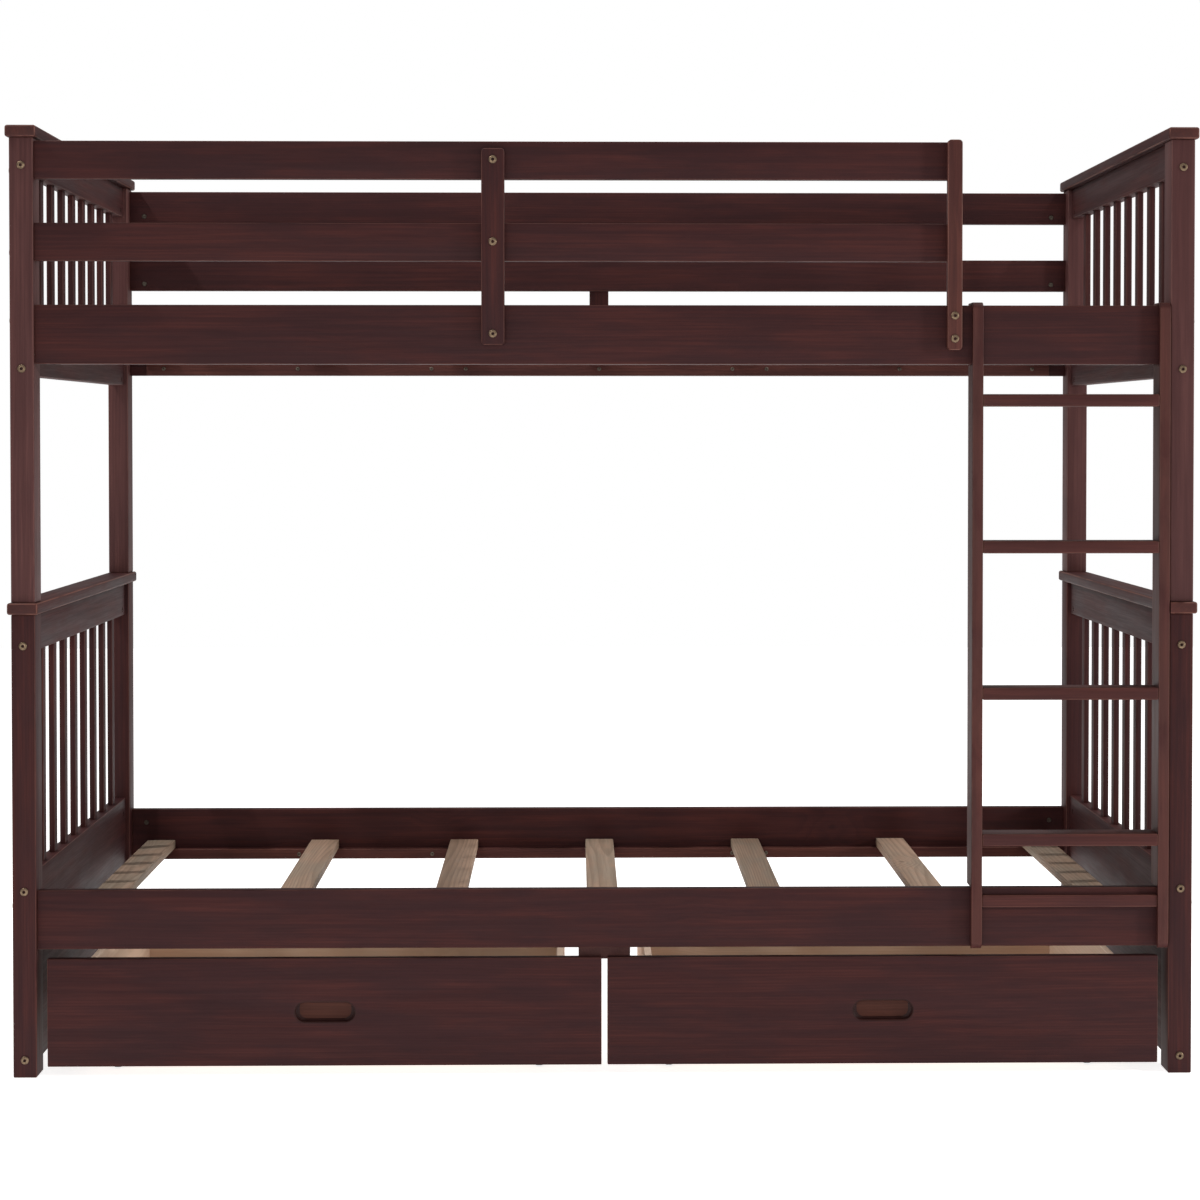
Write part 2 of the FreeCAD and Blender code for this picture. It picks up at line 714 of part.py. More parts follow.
def stop_block():
    body = board(
        "stop_block_blank",
        ("stop_block_width", "stop_block_length", "stop_block_thickness"),
        ("-stop_block_width / 2", "drawer_stop_gap - drawer_front_back",
         "lower_rail_bottom - stop_block_thickness"),
    )
    holes = []
    for start in stop_block_screws("lower_rail_bottom - stop_block_thickness"):
        holes.append(screw_hole(f"stop_block_hole_{len(holes)}", start, "+z", "stop_block_thickness"))
        screw(start, "+z", "stop_block_thickness + screw_reach")
    return node(less("stop_block", body, holes), "stop_block")


stop_block()


# ---- ladder: two stringers that hook over the upper rail and stand on the lower one, and five rungs ----


def plane_of(body, role):
    return next(plane for plane in body.Origin.OriginFeatures if plane.Role == role)


def outline(sketch, corners):
    """A closed outline of straight lines, each corner held by its own two bound distances."""
    count = len(corners)
    spots = [FreeCAD.Vector(10 * index, 10 * (index % 3) + 1, 0) for index in range(count)]
    for index in range(count):
        sketch.addGeometry(Part.LineSegment(spots[index], spots[(index + 1) % count]), False)
    for index in range(count):
        sketch.addConstraint(Sketcher.Constraint("Coincident", index, 2, (index + 1) % count, 1))
    for index, (across, up) in enumerate(corners):
        for kind, text in (("DistanceX", across), ("DistanceY", up)):
            number = sketch.addConstraint(Sketcher.Constraint(kind, -1, 1, index, 1, 1.0 + index))
            sketch.renameConstraint(number, f"{kind}_{index}")
            bind(sketch, f"Constraints.{kind}_{index}", text)


def stringer(label, x_left):
    """A stringer in side view: a tongue in front of each side rail, full depth between them, and a hook.

    The outline starts at the tongue's lower front corner and its depths run towards the back. Every distance
    is one millimetre long to keep it above zero, and the body is set back by the same millimetre.
    """
    body = doc.addObject("PartDesign::Body", label + "_profile")
    sketch = body.newObject("Sketcher::SketchObject", label + "_outline")
    sketch.AttachmentSupport = (plane_of(body, "YZ_Plane"), [""])
    sketch.MapMode = "FlatFace"
    corners = [
        ("1", "1"),
        ("1 + tongue_depth", "1"),
        ("1 + tongue_depth", "1 + lower_rail_top + hook_gap - ladder_foot"),
        ("1 + stringer_depth", "1 + lower_rail_top + hook_gap - ladder_foot"),
        ("1 + stringer_depth", "1 + upper_rail_bottom - hook_gap - ladder_foot"),
        ("1 + tongue_depth", "1 + upper_rail_bottom - hook_gap - ladder_foot"),
        ("1 + tongue_depth", "1 + upper_rail_top + hook_gap - ladder_foot"),
        ("1 + tongue_depth + rail_thickness + hook_gap", "1 + upper_rail_top + hook_gap - ladder_foot"),
        ("1 + tongue_depth + rail_thickness + hook_gap", "1 + ladder_top - hook_drop - ladder_foot"),
        ("1 + stringer_depth", "1 + ladder_top - hook_drop - ladder_foot"),
        ("1 + stringer_depth", "1 + ladder_top - ladder_foot"),
        ("1", "1 + ladder_top - ladder_foot"),
    ]
    outline(sketch, corners)
    pad = body.newObject("PartDesign::Pad", label + "_pad")
    pad.Profile = sketch
    bind(pad, "Length", "stringer_width")
    place(body, (x_left, "-ladder_face - 1", "ladder_foot - 1"))
    holes = []
    for level in (LOWER_LADDER_LEVEL, UPPER_LADDER_LEVEL):
        start = (f"{x_left} + stringer_width / 2", "-rail_face", level)
        holes.append(screw_hole(f"{label}_bore_{len(holes)}", start, "-y", "tongue_depth - 3"))
        head = (f"{x_left} + stringer_width / 2", "-rail_inner", level)
        screw(head, "-y", "rail_thickness + tongue_depth - 4")
    return node(less(label, body, holes), label)


stringer("ladder_stringer_left", "ladder_left")
stringer("ladder_stringer_right", "ladder_right - stringer_width")


def rungs():
    """Four full-depth rungs, and a thin one low down in front of the lower side rail."""
    x_left = "ladder_left + stringer_width"
    steps = [board(
        "rung_foot", ("ladder_clear_width", "foot_rung_depth", "rung_thickness"),
        (x_left, "-rail_face - foot_rung_depth", "lower_rail_top - foot_rung_drop"),
    )]
    for index in range(4):
        level = f"lower_rail_top + rung_first_rise + {index} * rung_pitch - rung_thickness / 2"
        steps.append(board(
            f"rung_{index}",
            ("ladder_clear_width", "stringer_depth - rung_back_recess", "rung_thickness"),
            (x_left, "-ladder_face", level),
        ))
    return node(together("ladder_rungs", steps), "ladder_rungs")


rungs()


# ---- drawers: an open box on four casters behind a tall front with a routed finger grip ----


def drawer_front(label, x_left):
    """The front board, with a round-ended recess and an undercut above it for the fingers."""
    body = board(
        label + "_blank",
        ("drawer_length", "drawer_front_thickness", "drawer_top - drawer_floor_gap"),
        (x_left, "-drawer_face", "drawer_floor_gap"),
    )
    x_middle = f"{x_left} + drawer_length / 2"
    z_middle = "(drawer_top + drawer_floor_gap) / 2"
    straight = "(grip_length - grip_height)"
    tools = [board(label + "_grip", (straight, "grip_depth", "grip_height"),
                   (f"{x_middle} - {straight} / 2", "-drawer_face", f"{z_middle} - grip_height / 2"))]
    for x_sign in (-1, 1):
        tools.append(rod(f"{label}_grip_end_{x_sign + 1}", "grip_height / 2", "grip_depth",
                         (f"{x_middle} + ({x_sign}) * {straight} / 2", "-drawer_face", z_middle), "+y"))
    tools.append(board(
        label + "_undercut", (straight, "grip_depth - grip_lip", "grip_undercut"),
        (f"{x_middle} - {straight} / 2", "grip_lip - drawer_face", f"{z_middle} + grip_height / 2 - 1")))
    recess = fused(label + "_recess", tools)
    return node(less(label + "_routed", body, [recess]), label)


def caster_frame(name, x_middle, y_middle):
    """A bent steel fork with its riveted axle."""
    top = board(name + "_plate", ("fork_width + 2 * caster_flange", "caster_length", "caster_sheet"),
                (f"{x_middle} - fork_width / 2 - caster_flange", f"{y_middle} - caster_length / 2",
                 "drawer_bottom_level - caster_sheet"))
    pieces = [top]
    leg_height = "wheel_radius + wheel_top_gap + axle_cover"
    for x_sign in (-1, 1):
        x_low = f"{x_middle} + ({x_sign}) * (fork_width / 2 - caster_sheet / 2) - caster_sheet / 2"
        pieces.append(board(f"{name}_leg_{x_sign + 1}", ("caster_sheet", "2 * axle_cover", leg_height),
                            (x_low, f"{y_middle} - axle_cover", "wheel_radius - axle_cover")))
    pieces.append(rod(name + "_axle", "axle_radius", "fork_width",
                      (f"{x_middle} - fork_width / 2", y_middle, "wheel_radius"), "+x"))
    return fused(name, pieces)


def wheel(name, x_middle, y_middle):
    start = (f"{x_middle} - wheel_width / 2", y_middle, "wheel_radius")
    disc = rod(name + "_disc", "wheel_radius", "wheel_width", start, "+x")
    bore = rod(name + "_bore", "axle_radius + wheel_bore_gap", "wheel_width", start, "+x")
    return less(name, disc, [bore])


def drawer(side, x_left):
    label = f"drawer_{side}"
    drawer_front(label + "_front", x_left)
    outer_left = f"{x_left} + drawer_side_inset"
    outer_right = f"{x_left} + drawer_length - drawer_side_inset"
    walls = [
        board(f"{label}_side_{index}", ("drawer_board", "drawer_depth", "drawer_side_height"),
              (x_low, "-drawer_front_back", "drawer_side_bottom"))
        for index, x_low in enumerate((outer_left, f"{outer_right} - drawer_board"))
    ]
    node(together(label + "_sides", walls), label + "_sides")
    node(board(label + "_back", ("drawer_inner_length", "drawer_board", "drawer_side_height"),
               (f"{outer_left} + drawer_board", "drawer_back - drawer_board", "drawer_side_bottom")),
         label + "_back")
    node(board(label + "_bottom",
               ("drawer_inner_length", "drawer_depth - drawer_board", "drawer_bottom_thickness"),
               (f"{outer_left} + drawer_board", "-drawer_front_back", "drawer_bottom_level")),
         label + "_bottom")
    frames = []
    x_casters = (f"{outer_left} + drawer_board + caster_inset_side",
                 f"{outer_right} - drawer_board - caster_inset_side")
    y_casters = {"front": "caster_inset_end - drawer_front_back",
                 "rear": "drawer_back - drawer_board - caster_inset_end"}
    for row, y_middle in y_casters.items():
        wheels = []
        for x_middle in x_casters:
            frames.append(caster_frame(f"{label}_caster_{len(frames)}", x_middle, y_middle))
            wheels.append(wheel(f"{label}_{row}_wheel_{len(wheels)}", x_middle, y_middle))
        node(together(f"{label}_{row}_wheels", wheels), f"{label}_{row}_wheels")
    node(together(label + "_caster_frames", frames), label + "_caster_frames")


drawer("left", "drawer_side_gap - inner_half_length")
drawer("right", "drawer_middle_gap / 2")


# ---- fasteners, each kind in one node ----

node(together("bolts", bolts), "bolts")
node(together("barrel_nuts", nuts), "barrel_nuts")
node(together("screws", screws), "screws")
node(together("wooden_dowels", dowels), "wooden_dowels")
node(together("stacking_pins", stacking_pins), "stacking_pins")

doc.recompute()

faults = [thing.Name for thing in doc.Objects if {"Invalid", "Error"} & set(thing.State)]
faults += [piece.Label for piece in nodes if piece.Shape.isNull() or not piece.Shape.isValid()]
if faults:
    raise RuntimeError("these objects failed: " + ", ".join(faults))

os.makedirs("parts", exist_ok=True)
for piece in nodes:
    piece.Shape.exportStep(f"parts/{piece.Label}.step")
print(len(nodes), "sub-parts written")
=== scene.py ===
import itertools
import math
import random

import bmesh
import bpy
from mathutils import Matrix, Vector


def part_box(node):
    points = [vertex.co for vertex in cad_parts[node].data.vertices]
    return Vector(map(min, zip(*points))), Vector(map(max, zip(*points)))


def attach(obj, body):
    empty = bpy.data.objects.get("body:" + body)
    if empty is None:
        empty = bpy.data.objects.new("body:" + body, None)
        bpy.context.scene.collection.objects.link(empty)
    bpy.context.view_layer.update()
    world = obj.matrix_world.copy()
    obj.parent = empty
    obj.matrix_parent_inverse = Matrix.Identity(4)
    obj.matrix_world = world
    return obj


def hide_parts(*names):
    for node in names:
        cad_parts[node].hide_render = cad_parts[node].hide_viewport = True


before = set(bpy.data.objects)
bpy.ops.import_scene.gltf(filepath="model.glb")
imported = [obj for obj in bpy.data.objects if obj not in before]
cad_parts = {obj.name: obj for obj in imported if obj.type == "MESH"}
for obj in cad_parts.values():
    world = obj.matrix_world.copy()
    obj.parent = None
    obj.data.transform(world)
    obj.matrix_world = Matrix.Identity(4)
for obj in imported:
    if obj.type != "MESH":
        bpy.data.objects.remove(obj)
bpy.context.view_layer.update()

# ---- posts ----
# Eight uprights of planed pine, four to each bed, stained a dark espresso and lacquered satin. All their
# edges are eased with a small round-over. The upper four are given a lighter stain as painted sheen, for
# the light they catch higher up.

X, Y, Z = range(3)
POST_EDGE = 0.0022
STAIN_DEEP = (0.0195, 0.0062, 0.0072)
STAIN_BODY = (0.0330, 0.0086, 0.0089)
STAIN_WARM = (0.0570, 0.0140, 0.0115)
# Colour of the lighter edges and ends: partly stain rubbed through, partly painted highlight on the rounded
# edges.
STAIN_WORN_AND_HIGHLIGHT = (0.20, 0.088, 0.064)
SATIN_SHEEN = 0.13
SAME_POINT = 1e-6
SQUARE_EDGE = math.radians(60)
ROUNDED_EDGE = math.radians(40)


def loose_boxes(node):
    """The lowest and highest corner of every separate solid in a node, in order of X, then Y, then Z."""
    merged = bmesh.new()
    merged.from_mesh(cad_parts[node].data)
    bmesh.ops.remove_doubles(merged, verts=merged.verts, dist=SAME_POINT)
    waiting = set(merged.verts)
    boxes = []
    while waiting:
        front = [waiting.pop()]
        places = []
        while front:
            vert = front.pop()
            places.append(vert.co.copy())
            for edge in vert.link_edges:
                other = edge.other_vert(vert)
                if other in waiting:
                    waiting.remove(other)
                    front.append(other)
        low = Vector([min(p[i] for p in places) for i in range(3)])
        high = Vector([max(p[i] for p in places) for i in range(3)])
        boxes.append((low, high))
    merged.free()
    return sorted(boxes, key=lambda box: [round(value, 4) for value in box[0]])


def eased_board(low, high, edge, segments=3):
    """A straight board with all its edges rounded over."""
    board = bmesh.new()
    bmesh.ops.create_cube(board, size=1)
    for vert in board.verts:
        vert.co = Vector([low[i] if vert.co[i] < 0 else high[i] for i in range(3)])
    bmesh.ops.bevel(board, geom=board.edges[:], offset=edge, segments=segments, profile=0.5,
                    affect="EDGES", clamp_overlap=True)
    return board


def cut_away(stock, tool):
    """What a cutting tool leaves of a part; the faces that it cuts take the number of the tool's material."""
    linings = max(flat.material_index for flat in tool.faces) + 1
    shapes = []
    for name, shape in (("stock", stock), ("tool", tool)):
        mesh = bpy.data.meshes.new(name)
        shape.to_mesh(mesh)
        shape.free()
        for _ in range(linings):
            mesh.materials.append(None)
        thing = bpy.data.objects.new(name, mesh)
        bpy.context.scene.collection.objects.link(thing)
        shapes.append(thing)
    cut = shapes[0].modifiers.new("cut", "BOOLEAN")
    cut.operation = "DIFFERENCE"
    cut.solver = "EXACT"
    cut.material_mode = "TRANSFER"
    cut.object = shapes[1]
    left = bmesh.new()
    left.from_object(shapes[0], bpy.context.evaluated_depsgraph_get())
    for thing in shapes:
        mesh = thing.data
        bpy.data.objects.remove(thing)
        bpy.data.meshes.remove(mesh)
    return left


def bored(board, holes):
    """Drills round holes, each (start, end, radius), into a board."""
    cutters = bmesh.new()
    for start, end, radius in holes:
        line = Vector(end) - Vector(start)
        turn = line.to_track_quat("Z", "Y").to_matrix().to_4x4()
        matrix = Matrix.Translation((Vector(start) + Vector(end)) / 2) @ turn
        bmesh.ops.create_cone(cutters, cap_ends=True, segments=32, radius1=radius, radius2=radius,
                              depth=line.length, matrix=matrix)
    return cut_away(board, cutters)


seeds = itertools.count(101)


def mark_grain(board, low, high, along, edge):
    """Lays wood grain in a board: where the tree's heart was, which way it runs, its ends and its edges."""
    dice = random.Random(next(seeds))
    heart = dice.uniform(0.035, 0.11)
    angle = dice.uniform(0, math.tau)
    shift = (dice.uniform(0, 60), heart * math.cos(angle), heart * math.sin(angle))
    tone = dice.uniform(0, 1)
    grain_layer = board.verts.layers.float_vector.new("grain")
    edge_layer = board.verts.layers.float.new("edge")
    end_layer = board.verts.layers.float.new("end")
    tone_layer = board.verts.layers.float.new("tone")
    order = (along, (along + 1) % 3, (along + 2) % 3)
    middle = (Vector(low) + Vector(high)) / 2
    for vert in board.verts:
        from_middle = [vert.co[axis] - middle[axis] for axis in order]
        vert[grain_layer] = Vector([from_middle[i] + shift[i] for i in range(3)])
        reach = sorted(min(abs(vert.co[i] - low[i]), abs(high[i] - vert.co[i])) for i in range(3))
        from_end = min(vert.co[along] - low[along], high[along] - vert.co[along])
        vert[edge_layer] = max(0.0, 1 - reach[1] / edge)
        vert[end_layer] = max(0.0, 1 - from_end / edge)
        vert[tone_layer] = tone


def gathered(parts):
    """Several separate parts in one mesh."""
    whole = bmesh.new()
    for part in parts:
        step = bpy.data.meshes.new("step")
        part.to_mesh(step)
        part.free()
        whole.from_mesh(step)
        bpy.data.meshes.remove(step)
    return whole


def grained_boards(node, along, edge, segments=3):
    """An eased board with its grain for every separate solid in a node."""
    boards = []
    for low, high in loose_boxes(node):
        board = eased_board(low, high, edge, segments)
        mark_grain(board, low, high, along, edge)
        boards.append(board)
    return boards


def finished(name, parts, materials, body, nodes):
    """Joins finished parts into one piece, gives it its materials and fixes it where its CAD nodes are."""
    whole = bpy.data.meshes.new(name)
    joined = gathered(parts)
    joined.to_mesh(whole)
    joined.free()
    for material in materials:
        whole.materials.append(material)
    piece = bpy.data.objects.new(name, whole)
    bpy.context.scene.collection.objects.link(piece)
    for face in whole.polygons:
        face.use_smooth = True
    whole.set_sharp_from_angle(angle=ROUNDED_EDGE)
    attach(piece, body)
    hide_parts(*nodes)


def shade_node(tree, kind, inputs=(), **settings):
    """Adds a shader node, sets its properties, and fills or links its inputs."""
    added = tree.nodes.new(kind)
    for key, value in settings.items():
        setattr(added, key, value)
    for key, value in dict(inputs).items():
        if isinstance(value, bpy.types.NodeSocket):
            tree.links.new(value, added.inputs[key])
        else:
            added.inputs[key].default_value = value
    return added


def sums(tree, operation, first, second=0.0, third=0.0):
    """Any of the shader's sums on two or three values."""
    added = shade_node(tree, "ShaderNodeMath", {0: first, 1: second, 2: third}, operation=operation)
    return added.outputs[0]


def blended(tree, share, first, second):
    """The first colour, with a share of the second."""
    added = shade_node(tree, "ShaderNodeMix", {0: share, 6: first, 7: second}, data_type="RGBA")
    return added.outputs[2]


def ramped(tree, value, low, high):
    """Zero below low, one above high, and smooth between."""
    added = shade_node(tree, "ShaderNodeMapRange",
                       {"Value": value, "From Min": low, "From Max": high}, interpolation_type="SMOOTHSTEP")
    return added.outputs[0]


def stretched(tree, vector, scale):
    """A place with each axis scaled on its own."""
    added = shade_node(tree, "ShaderNodeVectorMath", {0: vector, 1: scale}, operation="MULTIPLY")
    return added.outputs[0]


def noise(tree, vector, scale, detail=2.0, roughness=0.5):
    """Cloudy noise from zero to one."""
    added = shade_node(tree, "ShaderNodeTexNoise",
                       {"Vector": vector, "Scale": scale, "Detail": detail, "Roughness": roughness})
    return added.outputs[0]


def grain_noise(tree, grain, along, across, detail, roughness):
    """Noise drawn out along the grain: how often it repeats to a metre along it, and across it."""
    return noise(tree, stretched(tree, grain, (along, across, across)), 1.0, detail, roughness)


pine_figure = bpy.data.node_groups.new("pine figure", "ShaderNodeTree")
sockets = pine_figure.interface
sockets.new_socket("Grain", in_out="INPUT", socket_type="NodeSocketVector")
sockets.new_socket("Ring Width", in_out="INPUT", socket_type="NodeSocketFloat").default_value = 0.005
for wanted in ("Rings", "Fibres", "Clouds", "Streaks", "Knots", "Knot Rims"):
    sockets.new_socket(wanted, in_out="OUTPUT", socket_type="NodeSocketFloat")
entry = pine_figure.nodes.new("NodeGroupInput").outputs
leave = pine_figure.nodes.new("NodeGroupOutput").inputs
grain = entry["Grain"]

# Knots: scattered cells, each with a ragged dark eye and a darker rim, which push the rings aside.
knot_cells = shade_node(pine_figure, "ShaderNodeTexVoronoi",
                        {"Vector": stretched(pine_figure, grain, (0.62, 1.0, 1.0)), "Scale": 4.6,
                         "Randomness": 1.0})
knot_distance = sums(pine_figure, "ADD", knot_cells.outputs["Distance"],
                     sums(pine_figure, "MULTIPLY_ADD", noise(pine_figure, grain, 60.0), 0.036, -0.018))
eye = sums(pine_figure, "SUBTRACT", 1.0, ramped(pine_figure, knot_distance, 0.022, 0.05))
past_rim = sums(pine_figure, "SUBTRACT", 1.0, ramped(pine_figure, knot_distance, 0.045, 0.075))
rim = sums(pine_figure, "MULTIPLY", ramped(pine_figure, knot_distance, 0.02, 0.045), past_rim)
knot_pull = sums(pine_figure, "SUBTRACT", 1.0, ramped(pine_figure, knot_distance, 0.03, 0.24))

# Rings: how far a point is from the heart of the tree, with a slow drift, cut into years.
across = shade_node(pine_figure, "ShaderNodeVectorMath",
                    {0: stretched(pine_figure, grain, (0.0, 1.0, 1.0))}, operation="LENGTH")
drift = grain_noise(pine_figure, grain, 0.9, 7.0, 2.0, 0.5)
depth_in_tree = sums(pine_figure, "ADD", across.outputs["Value"],
                     sums(pine_figure, "MULTIPLY", drift, 0.034))
depth_in_tree = sums(pine_figure, "ADD", depth_in_tree, sums(pine_figure, "MULTIPLY", knot_pull, 0.011))
ring = sums(pine_figure, "FRACT", sums(pine_figure, "DIVIDE", depth_in_tree, entry["Ring Width"]))
late_wood = sums(pine_figure, "MULTIPLY", ramped(pine_figure, ring, 0.25, 0.88),
                 sums(pine_figure, "SUBTRACT", 1.0, ramped(pine_figure, ring, 0.9, 1.0)))

# Fibres, and the slower streaks and clouds in which the wood takes up stain.
fine = grain_noise(pine_figure, grain, 9.0, 520.0, 3.0, 0.6)
coarse = grain_noise(pine_figure, grain, 3.0, 120.0, 3.0, 0.55)
fibres = sums(pine_figure, "MULTIPLY_ADD", fine, 0.55, sums(pine_figure, "MULTIPLY", coarse, 0.45))
clouds = grain_noise(pine_figure, grain, 4.5, 19.0, 4.0, 0.6)
streaks = grain_noise(pine_figure, grain, 3.0, 85.0, 4.0, 0.6)

for wanted, value in (("Rings", late_wood), ("Fibres", ramped(pine_figure, fibres, 0.32, 0.68)),
                      ("Clouds", ramped(pine_figure, clouds, 0.38, 0.62)),
                      ("Streaks", ramped(pine_figure, streaks, 0.40, 0.60)),
                      ("Knots", eye), ("Knot Rims", rim)):
    pine_figure.links.new(value, leave[wanted])

# Lightens the rounded edges in patches: partly wear of the stain, partly painted highlight where the edges catch
# the lights.
rubbed_and_highlit_edge = bpy.data.node_groups.new("rubbed and highlit edge", "ShaderNodeTree")
rubbed_and_highlit_edge.interface.new_socket("Edge", in_out="INPUT", socket_type="NodeSocketFloat")
rubbed_and_highlit_edge.interface.new_socket("Grain", in_out="INPUT", socket_type="NodeSocketVector")
rubbed_and_highlit_edge.interface.new_socket("Amount", in_out="INPUT", socket_type="NodeSocketFloat")
rubbed_and_highlit_edge.interface.new_socket("Wear And Highlight", in_out="OUTPUT", socket_type="NodeSocketFloat")
entry = rubbed_and_highlit_edge.nodes.new("NodeGroupInput").outputs
leave = rubbed_and_highlit_edge.nodes.new("NodeGroupOutput").inputs
patches = grain_noise(rubbed_and_highlit_edge, entry["Grain"], 9.0, 30.0, 4.0, 0.65)
edge_rub_and_highlight = sums(rubbed_and_highlit_edge, "MULTIPLY", ramped(rubbed_and_highlit_edge, entry["Edge"], 0.25, 0.72),
           ramped(rubbed_and_highlit_edge, patches, 0.28, 0.56))
rubbed_and_highlit_edge.links.new(sums(rubbed_and_highlit_edge, "MULTIPLY", edge_rub_and_highlight, entry["Amount"]), leave["Wear And Highlight"])


def pine(name, deep, body, warm, worn_and_highlight_colour, wear_and_highlight, gloss, figure=0.28, ring_width=0.005, knot_strength=0.6,
         relief=0.00022, tone_spread=0.3, clouds=0.75, streaks=0.4, fibres=0.45, end_grain_and_highlight=0.09):
    """Pine under a stain or bare: ring lines, fibres, cloudy take-up of the stain, knots, and edges and ends
    made lighter, partly by wear and partly as painted highlight.
    """
    deep, body, warm, worn_and_highlight_colour = ((*colour, 1) for colour in (deep, body, warm, worn_and_highlight_colour))
    material = bpy.data.materials.new(name)
    material.use_nodes = True
    tree = material.node_tree
    surface = tree.nodes["Principled BSDF"]
    grain = shade_node(tree, "ShaderNodeAttribute", attribute_name="grain").outputs["Vector"]
    edge = shade_node(tree, "ShaderNodeAttribute", attribute_name="edge").outputs["Fac"]
    tone = shade_node(tree, "ShaderNodeAttribute", attribute_name="tone").outputs["Fac"]
    end = shade_node(tree, "ShaderNodeAttribute", attribute_name="end").outputs["Fac"]
    wood = shade_node(tree, "ShaderNodeGroup", node_tree=pine_figure)
    tree.links.new(grain, wood.inputs["Grain"])
    wood.inputs["Ring Width"].default_value = ring_width
    wear_and_highlight_mask = shade_node(tree, "ShaderNodeGroup", node_tree=rubbed_and_highlit_edge)
    tree.links.new(grain, wear_and_highlight_mask.inputs["Grain"])
    tree.links.new(edge, wear_and_highlight_mask.inputs["Edge"])
    wear_and_highlight_mask.inputs["Amount"].default_value = wear_and_highlight
    warmth = sums(tree, "MULTIPLY_ADD", wood.outputs["Clouds"], clouds,
                  sums(tree, "MULTIPLY", tone, tone_spread))
    colour = blended(tree, warmth, body, warm)
    colour = blended(tree, sums(tree, "MULTIPLY", wood.outputs["Streaks"], streaks), colour, deep)
    colour = blended(tree, sums(tree, "MULTIPLY", wood.outputs["Rings"], figure), colour, deep)
    colour = blended(tree, sums(tree, "MULTIPLY", wood.outputs["Fibres"], fibres), colour, deep)
    colour = blended(tree, sums(tree, "MULTIPLY", wood.outputs["Knots"], knot_strength), colour, deep)
    colour = blended(tree, sums(tree, "MULTIPLY", wood.outputs["Knot Rims"], knot_strength * 0.35), colour,
                     warm)
    # Board ends and rounded edges go lighter: partly end grain and wear, partly painted highlight.
    colour = blended(tree, sums(tree, "MULTIPLY", end, end_grain_and_highlight), colour, worn_and_highlight_colour)
    colour = blended(tree, wear_and_highlight_mask.outputs["Wear And Highlight"], colour, worn_and_highlight_colour)
    tree.links.new(colour, surface.inputs["Base Color"])
    rough = sums(tree, "MULTIPLY_ADD", wood.outputs["Fibres"], 0.10, gloss)
    rough = sums(tree, "ADD", rough, sums(tree, "MULTIPLY", wood.outputs["Clouds"], 0.06))
    tree.links.new(rough, surface.inputs["Roughness"])
    height = sums(tree, "MULTIPLY_ADD", wood.outputs["Fibres"], -0.6,
                  sums(tree, "MULTIPLY", wood.outputs["Rings"], 0.4))
    bump = shade_node(tree, "ShaderNodeBump", {"Height": height, "Distance": relief, "Strength": 0.6})
    tree.links.new(bump.outputs["Normal"], surface.inputs["Normal"])
    surface.inputs["Specular IOR Level"].default_value = SATIN_SHEEN
    return material


espresso = pine("espresso stained pine", STAIN_DEEP, STAIN_BODY, STAIN_WARM, STAIN_WORN_AND_HIGHLIGHT, wear_and_highlight=0.5, gloss=0.52)
lighter_stain = pine("lighter espresso stain", (0.040, 0.0140, 0.0140), (0.067, 0.0250, 0.0240),
                  (0.090, 0.0350, 0.0320), (0.20, 0.10, 0.08), wear_and_highlight=0.5, gloss=0.50)
for node in sorted(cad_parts):
    if "_post_" not in node:
        continue
    low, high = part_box(node)
    post = eased_board(low, high, POST_EDGE)
    mark_grain(post, low, high, Z, POST_EDGE)
    # The lighter stain on the upper posts is painted sheen.
    stain = lighter_stain if node.startswith("upper") else espresso
    finished(node + "_wood", [post], [stain], "frame", [node])

# ---- caps ----
# Flat boards that lie over the two posts and the top rail of each end, standing a little proud of them all
# round. Their edges are rounded more than the posts'. The lower pair carries the upper bed, and the right one
# is notched where the ladder stands against the post.

CAP_EDGE = 0.0042
NOTCH_CORNER = 0.0008
NOTCH_GAP = 0.001
NOTCH_OVERSHOOT = 0.02
cap_low, cap_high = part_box("lower_cap_right")
overshoot = Vector((NOTCH_OVERSHOOT,) * 3)
notch_low = cap_low - overshoot
notch_high = Vector((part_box("lower_post_front_right")[0].x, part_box("ladder_stringer_right")[1].y + NOTCH_GAP,
                     cap_high.z + overshoot.z))
for node in sorted(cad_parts):
    if "_cap_" not in node:
        continue
    low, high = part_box(node)
    cap = eased_board(low, high, CAP_EDGE, segments=4)
    if node == "lower_cap_right":
        cap = cut_away(cap, eased_board(notch_low, notch_high, NOTCH_CORNER))
    mark_grain(cap, low, high, Y, CAP_EDGE)
    finished(node + "_wood", [cap], [espresso], "frame", [node])

# ---- end frames ----
# Rails and tall panels glued up from pine boards, bolted between the posts of each end. Cross bores on the
# inner face hold the barrel nuts.

RAIL_EDGE = 0.0018
NUT_BORE = 0.0052
BORE_RUN_OUT = 0.01
nut_boxes = loose_boxes("barrel_nuts")


def nut_wells(low, high):
    """The bores for the barrel nuts that sit in this board, each open on the side that its nut is nearest."""
    wells = []
    for nut_low, nut_high in nut_boxes:
        middle = (nut_low + nut_high) / 2
        if any(middle[i] < low[i] or middle[i] > high[i] for i in range(3)):
            continue
        size = nut_high - nut_low
        axis = max(range(3), key=lambda i: size[i])
        near_low = nut_low[axis] - low[axis] < high[axis] - nut_high[axis]
        start = middle.copy()
        end = middle.copy()
        start[axis] = low[axis] - BORE_RUN_OUT if near_low else high[axis] + BORE_RUN_OUT
        end[axis] = nut_high[axis] if near_low else nut_low[axis]
        wells.append((start, end, NUT_BORE))
    return wells


